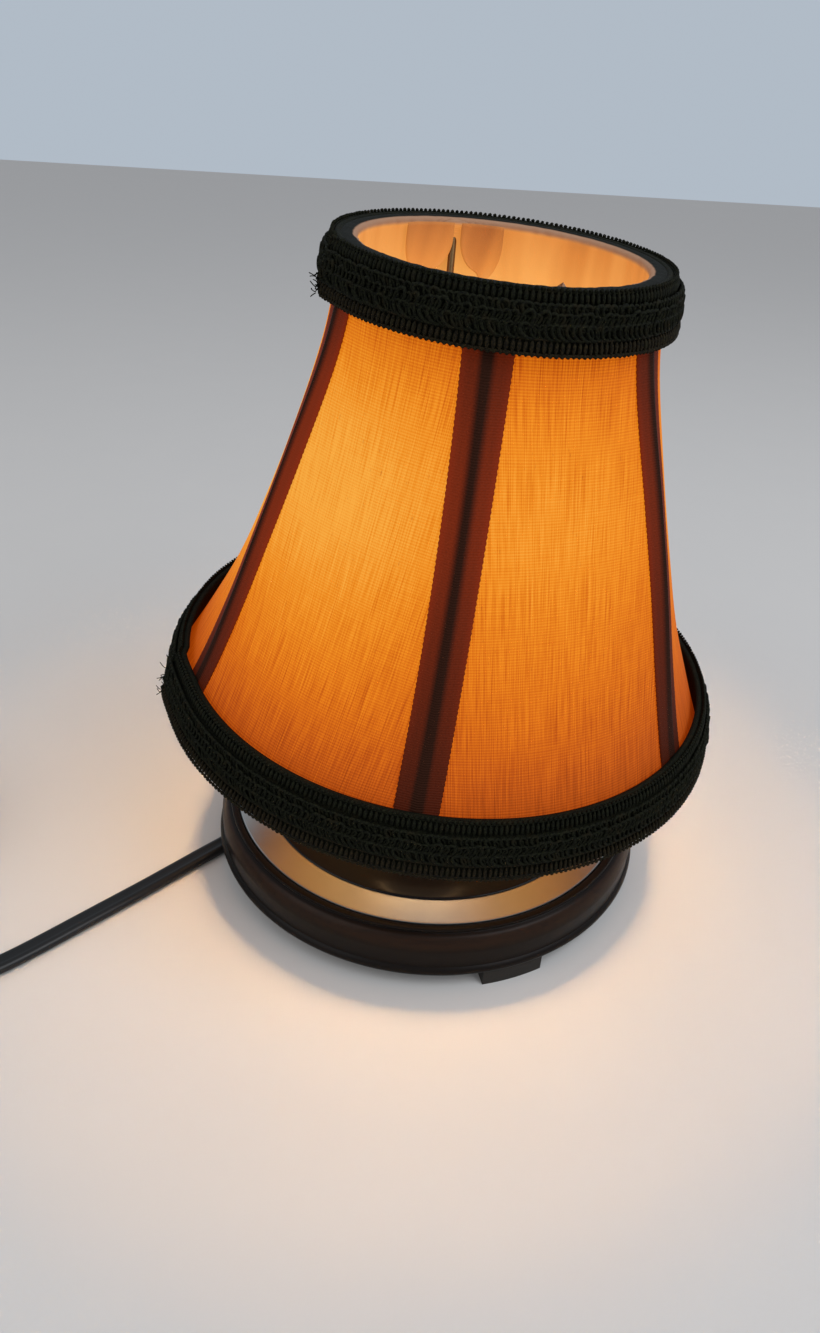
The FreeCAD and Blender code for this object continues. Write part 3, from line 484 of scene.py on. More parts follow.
def ribbonFinish(detail):
    finish = Finish("ribbedRibbon")
    u, v, _ = finish.split(finish.clothPlace())
    across = u / (detail["width"] * mm / 2)
    ribs = v.wave(detail["ribPitch"]) * 0.5 + 0.5
    fine = finish.grain(finish.join(u * 2500.0, v * 2500.0, 0.0), 1.0, 2.0)
    # painted shadow of the rib wire behind: the ribbon's glow is dimmed along its middle
    wire = 1.0 - across.size().ramp(0.0, 0.45)
    lit = glowShare(finish)
    glowLevel = (lit * (1.0 - wire * 0.7) * (0.75 + fine * 0.4)).atMost(1.1)
    # painted light leaking round the ribbon's edges
    edge = across.size().ramp(0.6, 1.0) * 0.35 * lit.ramp(0.35, 0.7)
    return finish.surface(
        BaseColor=finish.mix(fine, *detail["colours"]),
        Roughness=0.7,
        SpecularIORLevel=0.06,
        EmissionColor=finish.mix(edge, finish.colours(glowLevel, detail["glowStops"]), detail["edgeGlow"]),
        EmissionStrength=1.0,
        Normal=finish.bump(ribs * 0.7 + fine * 0.4, 0.5, 0.0003),
    )


def makeRibbons(detail):
    finish = ribbonFinish(detail)
    panels = shadeShape["panels"]
    for rib in range(panels):
        def cellAt(height, share):
            slant = slantLength(height)
            scallop = math.sin(2 * math.pi * slant / detail["scallopPitch"]) - 1
            across = (detail["width"] / 2 + scallop * detail["scallopDepth"]) * (2 * share - 1)
            spine = detail["spine"] * math.exp(-(across / detail["spineWidth"]) ** 2)
            lift = detail["standOff"] + detail["thickness"] + spine
            away = abs(across) / ribRadius(height)
            side = ((rib - 1) % panels, 1 - away) if across < 0 else (rib, away)
            return panelPoint(height, lift, *side), (across * mm, slant * mm)

        piece = addCloth(f"ribRibbon{rib + 1}", detail, clothHeights(detail), cellAt, finish)
        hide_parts(f"ribbon_{rib + 1}")


# lining: gathered pale cloth inside the frame, slit at the top for the clip's arms and bound over the rim

liningDetail = {
    "depth": 3.2,
    "thickness": 0.4,
    "edge": 0.8,
    "rows": 70,
    "columns": 600,
    "clipAngles": (108.3, 288.3),
    "slitDepth": 9.0,
    "slitHalf": 2.4,
    "slitReach": 14.0,
    "slitOpening": 1.6,
    "topRadius": 33.0,
    "pleat": 0.16,
    "pleatsAround": 22.0,
    "pleatLength": 60.0,
    "weavePitch": 0.0005,
    "colours": ((0.36, 0.14, 0.046), (0.44, 0.19, 0.07)),
    "glowStops": [
        (0.28, (0.06, 0.015, 0.002)), (0.42, (0.42, 0.16, 0.026)),
        (0.6, (0.6, 0.3, 0.07)), (0.9, (0.62, 0.4, 0.14)),
    ],
    # the binding's inward step and height, row by row, and its places along the cloth's map
    "binding": [(3.05, 113.5), (2.6, 113.75), (2.0, 113.9), (1.3, 113.95), (0.6, 113.85), (0.0, 113.6)],
    "bindingMap": 0.121,
    "bindingStep": 0.001,
    "bound": (0.1185, 0.1195),
    "tuckedShade": (0.1217, 0.1224),
    "ripple": 0.22,
    "ripplesAround": 14.0,
    "edgeColour": (0.26, 0.17, 0.115),
    "edgeGlow": (0.1, 0.04, 0.018),
    # painted shade where the binding tucks under the trim
    "tuckShadeColour": (0.006, 0.0065, 0.0045),
}


def liningPoint(height, angle, inward):
    turn = (math.degrees(angle) - shadeShape["firstRibAngle"]) % 360 / 60
    panel = min(int(turn), 5)
    return panelPoint(height, -inward * 1.1, panel, turn - panel)


def liningFinish(name, level, detail):
    finish = Finish(name)
    u, v, _ = finish.split(finish.clothPlace())
    pleats = finish.grain(finish.join(u * 75.0 + v * 18.0, v * 9.0, 0.0), 1.0, 2.0, 0.5)
    weave = v.wave(detail["weavePitch"]) * u.wave(detail["weavePitch"])
    # the creases give bump relief, and also painted light and shade: they brighten and darken the glow and
    # the colour along them
    foldsAndShade = pleats.ramp(0.35, 0.7)
    glowColour = finish.colours(glowShare(finish) * level * (0.85 + foldsAndShade * 0.27), detail["glowStops"])
    # the binding's tucked rows under the trim are painted shade: near black, with no glow
    bound, tuckedShade = v.ramp(*detail["bound"]), v.ramp(*detail["tuckedShade"])
    edged = finish.mix(bound, finish.mix(foldsAndShade * 0.5, *detail["colours"]), detail["edgeColour"])
    edgeGlow = finish.mix(bound, glowColour, detail["edgeGlow"])
    return finish.surface(
        BaseColor=finish.mix(tuckedShade, edged, detail["tuckShadeColour"]),
        Roughness=0.85,
        SpecularIORLevel=0.15,
        EmissionColor=finish.mix(tuckedShade, edgeGlow, (0.0, 0.0, 0.0)),
        EmissionStrength=1.0,
        Normal=finish.bump(foldsAndShade * 2.0 + weave * 0.2, 0.4, 0.0004),
    )


def openSlit(at, angle, height, detail):
    middle, reach = sway(height), detail["slitReach"]
    for turn in detail["clipAngles"]:
        aside = (math.degrees(angle) - turn + 180) % 360 - 180
        if abs(aside) < reach:
            deep = (height - shadeShape["height"]) / detail["slitDepth"] + 1
            opened = detail["slitHalf"] * min(deep * detail["slitOpening"], 1)
            gap = math.degrees(opened / detail["topRadius"])
            moved = math.copysign(gap + abs(aside) * (reach - gap) / reach, aside)
            return Matrix.Rotation(math.radians(moved - aside), 3, "Z") @ (at - middle) + middle
    return at


def hungPoint(height, angle, detail):
    fold = noise.noise(roundPoint(detail["pleatsAround"], height / detail["pleatLength"], angle))
    at = liningPoint(height, angle, detail["depth"] + detail["pleat"] * fold)
    if height > shadeShape["height"] - detail["slitDepth"]:
        at = openSlit(at, angle, height, detail)
    return at


def boundPoint(inward, height, angle, detail):
    ripple = noise.noise(roundPoint(detail["ripplesAround"], inward, angle)) * detail["ripple"]
    at = liningPoint(height, angle, inward + ripple)
    at.z = height + ripple * 0.4
    return at


def makeLining(detail):
    turns = turnsOf(detail["columns"])
    rows, uvRows = [], []

    def addRow(points, height, along):
        rows.append([at * mm for at in points])
        uvRows.append([(turn * ribRadius(height) * mm, along) for turn in turns + [2 * math.pi]])

    for height in clothHeights(detail):
        addRow([hungPoint(height, turn, detail) for turn in turns], height, slantLength(height) * mm)
    for step, (inward, height) in enumerate(detail["binding"]):
        addRow([boundPoint(inward, height, turn, detail) for turn in turns], height,
               detail["bindingMap"] + detail["bindingStep"] * step)
    piece = thicken(sheetMesh("shadeLining", rows, uvRows, around=True), detail["thickness"] * mm)
    finishShadePiece(piece, liningFinish("paleLining", 1.0, detail))
    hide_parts("shade_lining")


# the slit's cloth is folded back as two tabs beside each arm of the clip

tabDetail = {
    "thickness": 0.3,
    "rows": 17,
    "columns": 14,
    "top": 0.9,
    "drop": 12.0,
    "skew": 1.2,
    "roundFrom": 0.3,
    "curl": (0.35, 1.1, 0.45),  # at rest, more down the tab, more at its sides
    # the tabs glow dimmer than the lining: painted shade on them
    "light": 0.72,
    "sides": [(-1, 5.7, -6.7), (1, 7.1, 8.1)],  # which side of the slit, half width, middle
}


def makeLiningTabs(detail, lining):
    finish = liningFinish("liningTab", detail["light"], lining)
    drops = [r / (detail["rows"] - 1) for r in range(detail["rows"])]
    rest, fallen, aside = detail["curl"]
    pairs = [(turn, side) for turn in lining["clipAngles"] for side in detail["sides"]]
    for k, (turn, (side, half, middle)) in enumerate(pairs):
        def cellAt(drop, share):
            across = 2 * share - 1
            rounding = max(drop - detail["roundFrom"], 0) ** 2 * 2
            along = middle + across * half * math.sqrt(max(1 - rounding, 0.02))
            height = shadeShape["height"] - detail["top"]
            height -= drop * (detail["drop"] + detail["skew"] * across * side)
            angle = math.radians(turn) + along / lining["topRadius"]
            inward = lining["depth"] + lining["thickness"]
            inward += rest + fallen * drop ** 3 + aside * across ** 4
            return liningPoint(height, angle, inward), (along * mm, height * mm)

        addCloth(f"liningTab{k + 1}", detail, drops, cellAt, finish, flip=True)


print("camera and shade shape ready")
makeShadeCloth(clothDetail)
makeRibbons(ribbonDetail)
makeLining(liningDetail)
makeLiningTabs(tabDetail, liningDetail)
print("cloth, ribbons and lining made")


# braided trims: a padded band, ribbed selvages and looped braid laid round it by geometry nodes

trimDetail = {
    "bottom": {"low": -0.6, "high": 12.8, "lowRadius": 76.5, "highRadius": 71.9, "seamAngle": 196.0},
    "top": {"low": 103.4, "high": 114.7, "lowRadius": 40.0, "highRadius": 37.1, "seamAngle": 200.0},
    "around": 330,
    "across": 20,
    "sunk": 0.55,
    "thickness": 1.6,
    "bulge": 0.75,
    "crown": (0.2, 0.8),
    "roughness": 0.16,
    "roundedEdge": 0.5,
    "pitches": {"bead": 1.2, "picot": 1.2, "loop": 1.45},
    "loop": (3.1, 1.9, 0.35, 0.36),  # length, width, lift and wire thickness
    "bead": (2.7, 1.0, 0.55),  # length, width and lift, for the picot too
    "picot": (0.8, 1.0, 0.45),
    # unit, share of the width, lift, twist, unevenness, finish
    "rows": [
        ("bead", 0.13, -0.05, 0.0, 0.08, "selvage"),
        ("picot", 0.0, -0.35, 0.0, 0.2, "selvage"),
        ("bead", 0.87, -0.05, 0.0, 0.08, "braid"),
        ("picot", 1.0, -0.05, 0.0, 0.2, "braid"),
        ("loop", 0.36, 0.1, 0.75, 0.35, "braid"),
        ("loop", 0.52, 0.3, -0.75, 0.35, "braid"),
        ("loop", 0.66, 0.1, 0.75, 0.35, "braid"),
    ],
    # share of the width, lift, finish
    "edgeCords": [(0.015, -0.25, "selvage"), (0.25, 0.0, "selvage"), (0.96, -0.35, "braid")],
    "edgeCordThick": 0.33,
    "edgeCordUneven": 0.25,
    "seamLift": 0.9,
    "seamSpread": 4.0,
    "seamEdge": 0.8,
    "threads": 46,
    "threadThick": 0.11,
    "threadReach": (0.8, 2.6),
    "threadSpread": 2.2,
    "seed": 7,
}


def trimSlope(band):
    return math.atan2(band["lowRadius"] - band["highRadius"], band["high"] - band["low"])


def trimPoint(band, share, lift):
    height = band["low"] + (band["high"] - band["low"]) * share
    radius = band["lowRadius"] + (band["highRadius"] - band["lowRadius"]) * share
    slope = trimSlope(band)
    return radius + lift * math.cos(slope), height + lift * math.sin(slope)


def onShade(radius, height, angle):
    return (roundPoint(radius, height, angle) + sway(height)) * mm


def trimFinish(name, thread, shadow, patches):
    finish = Finish(name)
    spot = finish.place()
    fibre = finish.grain(spot, 2600.0, 3.0, 0.7)
    patch = finish.grain(spot, 420.0, 2.0)
    tone = finish.mix(fibre.ramp(0.35, 0.7), shadow, thread)
    return finish.surface(
        BaseColor=finish.mix(patch.ramp(0.5, 0.75) * 0.55, tone, patches),
        Roughness=0.78,
        SpecularIORLevel=0.1,
        Normal=finish.bump(fibre, 0.55, 0.0003),
    )


def makeBand(name, band, detail):
    turns = turnsOf(detail["around"])
    low, high = detail["crown"]
    rows = []
    for r in range(detail["across"]):
        share = r / (detail["across"] - 1)
        crown = math.sin(math.pi * (share - low) / (high - low)) if low < share < high else 0.0
        edge = detail["roundedEdge"] if share in (0.0, 1.0) else 0.0
        row = []
        for turn in turns:
            rough = noise.noise(roundPoint(90, share * 12, turn)) * detail["roughness"]
            lift = -detail["sunk"] + detail["bulge"] * crown + rough - edge
            row.append(onShade(*trimPoint(band, share, lift), turn))
        rows.append(row)
    for share in (1.0, 0.0):
        radius, height = trimPoint(band, share, -detail["sunk"] - detail["thickness"])
        rows.append([onShade(radius, height, turn) for turn in turns])
    return closedMesh(name, rows)


class Tree(Graph):
    def __init__(self, name, inputs):
        super().__init__(bpy.data.node_groups.new(name, "GeometryNodeTree"))
        face = self.tree.interface
        self.sockets = {}
        for title, kind, value in inputs:
            made = face.new_socket(name=title, in_out="INPUT", socket_type="NodeSocket" + kind)
            if value is not None:
                made.default_value = value
            self.sockets[title] = made.identifier
        face.new_socket(name="Geometry", in_out="OUTPUT", socket_type="NodeSocketGeometry")
        self.source = self.add("NodeGroupInput")

    def given(self, title):
        return Socket(self, self.source.outputs[title])

    def close(self, geometry):
        real = self.node("GeometryNodeRealizeInstances", None, {0: geometry})
        painted = self.node("GeometryNodeSetMaterial", None, {0: real, "Material": self.given("Material")})
        self.add("NodeGroupOutput", None, {0: painted})
        return self


# units stand round a ring, each turned about its own length and a little uneven

def ringTree(name):
    tree = Tree(name, [
        ("Count", "Int", 100), ("Radius", "Float", 0.05), ("Height", "Float", 0.0),
        ("Tilt", "Float", 0.0), ("Twist", "Float", 0.0), ("Unevenness", "Float", 0.1),
        ("Seed", "Int", 1), ("Unit", "Object", None), ("Material", "Material", None),
    ])
    given = tree.given
    ring = tree.node("GeometryNodeMeshCircle", None,
                     {"Vertices": given("Count"), "Radius": given("Radius")})
    moved = tree.node("GeometryNodeSetPosition", None,
                      {0: ring, "Offset": tree.join(0.0, 0.0, given("Height"))})
    turn = tree.node("GeometryNodeInputIndex") / given("Count") * (2 * math.pi)
    wobble = tree.node("FunctionNodeRandomValue", {"data_type": "FLOAT"},
                       {2: -1.0, 3: 1.0, "Seed": given("Seed")}, 1)
    uneven = wobble * given("Unevenness")
    unit = tree.node("GeometryNodeObjectInfo", None, {0: given("Unit")}, "Geometry")
    placed = tree.node("GeometryNodeInstanceOnPoints", None, {
        "Points": moved, "Instance": unit, "Rotation": tree.join(0.0, given("Tilt"), turn)})
    spun = tree.node("GeometryNodeRotateInstances", None,
                     {0: placed, "Rotation": tree.join(given("Twist") + uneven, 0.0, 0.0)})
    scaled = tree.node("GeometryNodeScaleInstances", None, {0: spun, "Scale": uneven * 0.6 + 1.0})
    return tree.close(scaled)


def runTree(tree, name, values):
    piece = newPiece(name, bpy.data.meshes.new(name))
    modifier = piece.modifiers.new("layout", "NODES")
    modifier.node_group = tree.tree
    for title, value in values.items():
        modifier[tree.sockets[title]] = value
    return applyAll(piece)


def smallLoop(name, length, width, lift, wire):
    rows = []
    for t in turnsOf(12):
        centre = Vector((lift * math.sin(t) + lift, width / 2 * math.cos(t), length / 2 * math.sin(t)))
        along = Vector((lift * math.cos(t), -width / 2 * math.sin(t), length / 2 * math.cos(t)))
        along.normalize()
        side = along.cross(Vector((1, 0, 0))).normalized()
        up = side.cross(along)
        rows.append([(centre + side * wire * math.cos(a) + up * wire * math.sin(a)) * mm
                     for a in turnsOf(4)])
    return closedMesh(name, rows)


def smallBead(name, length, width, lift):
    rows = []
    for r in range(4):
        t = r / 3
        size = math.sqrt(max(1 - (2 * t - 1) ** 2, 0.05))
        rows.append([Vector((lift * math.sin(a) * size, width / 2 * math.cos(a) * size,
                             (t - 0.5) * length)) * mm for a in turnsOf(5)])
    return sheetMesh(name, rows, around=True)


def edgeCord(band, share, lift, detail):
    rows = []
    for roll in turnsOf(5):
        row = []
        for turn in turnsOf(360):
            uneven = detail["edgeCordUneven"] * noise.noise(roundPoint(40, share * 9, turn))
            thick = detail["edgeCordThick"] * (1 + uneven)
            radius, height = trimPoint(band, share, lift + thick * math.cos(roll))
            row.append(onShade(radius, height + thick * math.sin(roll), turn))
        rows.append(row)
    return closedMesh("edgeCord", rows)


def newStrands(name, paths):
    curve = bpy.data.curves.new(name, "CURVE")
    curve.dimensions = "3D"
    for path in paths:
        spline = curve.splines.new("NURBS")
        spline.points.add(len(path) - 1)
        for point, at in zip(spline.points, path):
            point.co = (*(at * mm), 1)
        spline.order_u = 3
        spline.use_endpoint_u = True
    return newPiece(name, curve)


def makeLooseThreads(which, band, detail, finish):
    chance = random.Random(detail["seed"])
    paths = []
    for k in range(detail["threads"]):
        share = chance.uniform(0.02, 0.98)
        angle = math.radians(band["seamAngle"] + chance.gauss(0, detail["threadSpread"]))
        radius, height = trimPoint(band, share, 0.2)
        out, aside = roundPoint(1, 0, angle), Vector((-math.sin(angle), math.cos(angle), 0))
        start = out * radius + Vector((0, 0, height))
        reach = chance.uniform(*detail["threadReach"])
        way = out * chance.uniform(0.2, 0.9) + aside * chance.uniform(-0.9, 0.9)
        way.z = chance.uniform(-1.0, 0.7)
        bend = aside * chance.uniform(-1, 1) + Vector((0, 0, chance.uniform(-1, 1)))
        paths.append([start + way * reach * t + bend * reach * 0.45 * math.sin(math.pi * t)
                      for t in (0, 1 / 3, 2 / 3, 1)])
    strands = newStrands("threads" + which, paths)
    strands.data.bevel_depth = detail["threadThick"] * mm
    strands.data.bevel_resolution = 1
    made = newPiece("threads" + which, bpy.data.meshes.new_from_object(strands))
    bpy.data.objects.remove(strands)
    dress(made, finish)
    return made


def joinPieces(name, pieces):
    target = pieces[0]
    with bpy.context.temp_override(active_object=target, selected_editable_objects=pieces,
                                   object=target, selected_objects=pieces):
        bpy.ops.object.join()
    target.name = name
    return target


# along the seam the braid's end stands up: a sharp step on one side, a slow fall on the other

def liftSeam(piece, band, detail):
    seam = math.radians(band["seamAngle"])
    out = roundPoint(1, 0, seam)
    for corner in piece.data.vertices:
        aside = math.degrees(math.atan2(corner.co.y, corner.co.x) - seam + math.pi) % 360 - 180
        fade = 2 * detail["seamSpread"] ** 2 if aside > 0 else detail["seamEdge"]
        corner.co += out * detail["seamLift"] * math.exp(-aside ** 2 / fade) * mm


def makeTrim(which, node, detail, finishes):
    band = detail[which]
    tree = ringTree("ringOf" + which.title())
    units = {
        "loop": smallLoop("unitLoop", *detail["loop"]),
        "bead": smallBead("unitBead", *detail["bead"]),
        "picot": smallBead("unitPicot", *detail["picot"]),
    }
    parts = [makeBand("band" + which.title(), band, detail)]
    dress(parts[0], finishes["braid"])
    for k, (unit, share, lift, twist, uneven, kind) in enumerate(detail["rows"]):
        radius, height = trimPoint(band, share, lift)
        row = runTree(tree, f"row{k}", {
            "Count": round(2 * math.pi * radius / detail["pitches"][unit]),
            "Radius": radius * mm,
            "Height": height * mm,
            "Tilt": -trimSlope(band),
            "Twist": twist,
            "Unevenness": uneven,
            "Seed": detail["seed"] + k,
            "Unit": units[unit],
            "Material": finishes[kind],
        })
        row.data.transform(Matrix.Translation(sway(height) * mm))
        parts.append(row)
    for unit in units.values():
        bpy.data.objects.remove(unit)
    for share, lift, kind in detail["edgeCords"]:
        parts.append(edgeCord(band, share, lift, detail))
        dress(parts[-1], finishes[kind])
    parts.append(makeLooseThreads(which, band, detail, finishes["braid"]))
    piece = joinPieces(which + "Braid", parts)
    liftSeam(piece, band, detail)
    for face in piece.data.polygons:
        face.use_smooth = True
    finishShadePiece(piece, None)
    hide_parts(node)
    print(piece.name, "faces", len(piece.data.polygons))


braidFinishes = {
    "braid": trimFinish("gimpBraid", thread=(0.0125, 0.014, 0.0055),
                        shadow=(0.0012, 0.0012, 0.0006), patches=(0.015, 0.0105, 0.0035)),
    "selvage": trimFinish("gimpSelvage", thread=(0.024, 0.017, 0.0065),
                          shadow=(0.0025, 0.002, 0.001), patches=(0.0125, 0.0135, 0.005)),
}
makeTrim("bottom", "bottom_trim", trimDetail, braidFinishes)
makeTrim("top", "top_trim", trimDetail, braidFinishes)
print("trims braided")


# cord: one flat two-rib lead from the base, through the switch and the coil, to the plug

cordDetail = {
    "width": 5.6,
    "thickness": 2.8,
    "sides": 16,
    "web": 0.62,
    "length": 1.855,
    "route": [
        (-35.5, 10.6, 7.4), (-35.5, 10.6, 5.0), (-36.4, 9.7, 2.8), (-38.0, 8.1, 1.5), (-41.6, 4.7, 1.5),
        (-49.4, -3.6, 1.5), (-62.8, -16.9, 1.5), (-79.0, -34.5, 1.5), (-90.3, -46.0, 1.5),
        (-105.5, -61.8, 1.5), (-113.3, -69.0, 2.2), (-121.2, -73.7, 4.4), (-128.0, -75.6, 5.2),
        (-134.0, -75.6, 5.2), (-150.0, -75.6, 5.2), (-168.0, -75.6, 5.2), (-184.0, -75.6, 5.2),
        (-189.0, -75.6, 5.2), (-196.5, -74.0, 4.6), (-203.8, -69.4, 3.6), (-209.6, -62.0, 2.8),
        (-213.0, -52.8, 2.4), (-214.0, -42.0, 2.4), (-214.0, -30.6, 2.4),
    ],
    "startAcross": (0.72, -0.69, 0.0),
    "startPoints": 12,
    "coilMiddle": (-177.0, -24.0),
    "coilRadius": 37.0,
    "coilLow": 2.4,
    "turnPitch": 6.2,
    "layerPitch": 3.4,
    "turnsPerLayer": 2,
    "layers": 4,
    "climbFrom": 0.25,
    "pointsPerTurn": 16,
    "tail": [
        (-214.0, -17.4, 12.6), (-214.0, -11.6, 12.6), (-213.4, -1.0, 11.4), (-212.4, 9.0, 8.2),
        (-212.0, 17.0, 6.6), (-212.0, 24.0, 6.6),
    ],
}


def coilTurnPoint(turn, detail):
    there = detail["turnsPerLayer"]
    spiral = turn % (2 * there)
    radius = detail["coilRadius"] - detail["turnPitch"] * min(spiral, 2 * there - spiral)
    radius /= math.cos(math.pi / detail["pointsPerTurn"])
    height = detail["coilLow"]
    for layer in range(1, detail["layers"]):
        climb = turn - layer * there + detail["climbFrom"]
        height += detail["layerPitch"] * min(max(2 * climb, 0), 1)
    at = roundPoint(radius, height, math.pi * (1 - 2 * turn))
    return at + Vector((*detail["coilMiddle"], 0))


def cordPath(detail):
    steps = detail["turnsPerLayer"] * detail["layers"] * detail["pointsPerTurn"]
    coil = [coilTurnPoint(k / detail["pointsPerTurn"], detail) for k in range(steps + 1)]
    line = newStrands("cordLine", [[Vector(at) for at in detail["route"] + coil + detail["tail"]]])
    line.data.resolution_u = 8
    path = [corner.co.copy() for corner in shownMesh(line).vertices]
    bpy.data.objects.remove(line)
    return [p for p, q in zip(path, path[1:]) if (q - p).length > 1e-6] + [path[-1]]


# the jacket's outline: two round lobes with a web between, as shares of the half width and half height

def cordOutline(detail):
    outline = []
    for turn in turnsOf(detail["sides"]):
        x, y = math.cos(turn), math.sin(turn)
        lobe = math.sqrt(max(1 - ((abs(x) - 0.5) / 0.5) ** 2, 0))
        tall = max(lobe, detail["web"]) if abs(x) < 0.5 else lobe
        outline.append((x, 0.0 if abs(y) < 1e-6 else math.copysign(tall, y)))
    return outline


def cordFinish():
    finish = Finish("cordJacket")
    drift = finish.grain(finish.place(), 60.0, 3.0)
    fine = finish.grain(finish.place(), 1500.0, 2.0)
    return finish.surface(
        BaseColor=finish.mix(drift, (0.006, 0.006, 0.006), (0.016, 0.015, 0.014)),
        Roughness=0.28 + drift * 0.12 + fine * 0.05,
        SpecularIORLevel=0.3,
        Normal=finish.bump(fine, 0.08, 0.0002),
    )


def makeCord(detail):
    path = cordPath(detail)
    print("cord length", round(sum((q - p).length for p, q in zip(path, path[1:])), 4))
    outline = cordOutline(detail)
    rows = [[path[0]] * detail["sides"]]
    for k, at in enumerate(path):
        ahead = (path[min(k + 1, len(path) - 1)] - path[max(k - 1, 0)]).normalized()
        if ahead.xy.length > 0.3:
            level = Vector((-ahead.y, ahead.x, 0)).normalized()
        elif k < detail["startPoints"]:  # it hangs straight down out of the grommet
            level = Vector(detail["startAcross"]).normalized()
        up = ahead.cross(level).normalized()
        rows.append([at + level * (detail["width"] / 2 * x * mm) + up * (detail["thickness"] / 2 * y * mm)
                     for x, y in outline])
    rows.append([path[-1]] * detail["sides"])
    piece = weldPiece(sheetMesh("flatCord", rows, around=True))
    dress(piece, cordFinish())
    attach(piece, "lamp")
    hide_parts("cord_run", "cord_link", "cord_coil", "cord_tail")


makeCord(cordDetail)
print("cord laid")


# turned pieces of the base, drawn as outlines of radius and height and spun

baseDetail = {
    "node": "base_body",
    "slot": "stained_wood",
    "segments": 240,
    "outline": [
        (5.3, 15.2), (44.5, 15.2), (44.5, 9.8), (50.4, 9.8), (50.4, 5.0),
        (62.6, 5.0), (63.3, 5.12), (63.75, 5.5), (64.0, 6.2), (63.85, 6.95), (63.35, 7.45), (63.0, 7.75),
        (63.0, 9.5), (63.05, 12.6), (62.95, 13.3), (62.6, 14.4), (62.1, 15.5), (61.5, 16.5), (60.85, 17.0),
        (60.35, 17.15), (60.15, 17.3), (60.3, 17.6), (60.3, 18.0), (60.15, 18.3), (59.8, 18.4),
        (59.0, 18.35), (58.5, 18.2), (58.45, 17.6), (5.3, 17.6),
    ],
    # heights of a painted sheen band round the convex roll
    "rollSheenFrom": (0.0125, 0.015),
    "rollSheenTo": (0.0165, 0.0172),
}
plateDetail = {
    "node": "nickel_plate",
    "slot": "satin_nickel",
    "segments": 240,
    "outline": [
        (5.3, 17.6), (57.9, 17.6), (58.2, 17.8), (58.2, 18.15), (58.05, 18.45), (57.7, 18.6), (5.3, 18.6),
    ],
}
discDetail = {
    "node": "black_disc",
    "slot": "black_gloss",
    "segments": 240,
    "outline": [
        (5.3, 18.6), (50.0, 18.6), (50.2, 18.8), (50.2, 19.05), (50.05, 19.22), (49.8, 19.3),
        (45.0, 19.42), (38.0, 19.72), (30.0, 20.2), (22.0, 20.55), (18.0, 20.6), (5.3, 20.6),
    ],
}
cupDetail = {
    "node": "candle_cup",
    "slot": "bronze_paint",
    "segments": 240,
    "outline": [
        (5.3, 20.6), (12.0, 20.6), (13.2, 21.0), (14.4, 22.3), (15.2, 24.0), (15.7, 26.4), (16.1, 28.6),
        (16.5, 29.3), (16.45, 29.6), (15.9, 29.6), (15.5, 29.2), (14.9, 27.4), (14.4, 25.0),
        (13.5, 23.0), (12.3, 21.6), (5.3, 21.6),
    ],
}
sleeveDetail = {
    "node": "candle_sleeve",
    "slot": "ivory_sleeve",
    "segments": 120,
    "outline": [
        (10.8, 21.6), (12.0, 21.6), (12.0, 67.6), (11.85, 67.9), (11.6, 68.0), (11.2, 68.0),
        (10.95, 67.9), (10.8, 67.6),
    ],
}


def makeTurned(name, detail, finish):
    turns = turnsOf(detail["segments"])
    rows = [[roundPoint(radius, height, turn) * mm for turn in turns]
            for radius, height in detail["outline"]]
    piece = closedMesh(name, rows)
    edges = piece.modifiers.new("edges", "EDGE_SPLIT")
    edges.split_angle = math.radians(38)
    dress(applyAll(piece), finish)
    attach(piece, "lamp")
    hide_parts(detail["node"])


def stainFinish(detail):
    finish = Finish("darkStain")
    spot = finish.place()
    x, y, z = finish.split(spot)
    grain = finish.grain(finish.join(x * 60.0, y * 700.0, z * 700.0), 1.0, 4.0, 0.6)
    broad = finish.grain(spot, 45.0, 3.0)
    # a warmer brown band round the convex roll: a painted sheen of the shade's glow
    rollSheen = z.ramp(*detail["rollSheenFrom"]) * (1.0 - z.ramp(*detail["rollSheenTo"]))
    warm = finish.mix(rollSheen * 0.6 + broad * 0.12, (0.004, 0.0027, 0.002), (0.03, 0.0135, 0.006))
    colour = finish.mix(grain.ramp(0.45, 0.75) * 0.5, warm, (0.006, 0.004, 0.003))
    wear = finish.grain(spot, 160.0, 4.0, 0.7).ramp(0.66, 0.78)
    return finish.surface(
        BaseColor=finish.mix(wear * 0.25, colour, (0.09, 0.05, 0.025)),
        Roughness=0.28 + broad * 0.12 + grain * 0.06,
        SpecularIORLevel=0.1,
        CoatWeight=0.03,
        CoatRoughness=0.2,
        Normal=finish.bump(grain, 0.12, 0.0003),
    )


def nickelFinish():
    finish = Finish("satinNickel")
    spot = finish.place()
    x, y = finish.split(spot)[:2]
    radius = finish.length(finish.join(x, y, 0.0))
    turning = finish.grain(finish.join(radius * 6500.0, 0.0, 0.0), 1.0, 2.0)
    smear = finish.grain(spot, 55.0, 3.0)
    return finish.surface(
        BaseColor=finish.mix(smear, (0.4, 0.41, 0.39), (0.5, 0.5, 0.475)),
        Metallic=1.0,
        Roughness=0.23 + smear * 0.1 + turning * 0.05,
        Normal=finish.bump(turning, 0.06, 0.0002),
    )


def glossFinish(name, low, high, rough):
    finish = Finish(name)
    broad = finish.grain(finish.place(), 70.0, 3.0)
    fine = finish.grain(finish.place(), 1400.0, 2.0)
    return finish.surface(
        BaseColor=finish.mix(broad, low, high),
        Roughness=rough + broad * 0.06 + fine * 0.03,
        SpecularIORLevel=0.14,
        CoatWeight=0.02,
        Normal=finish.bump(fine, 0.03, 0.0002),
    )


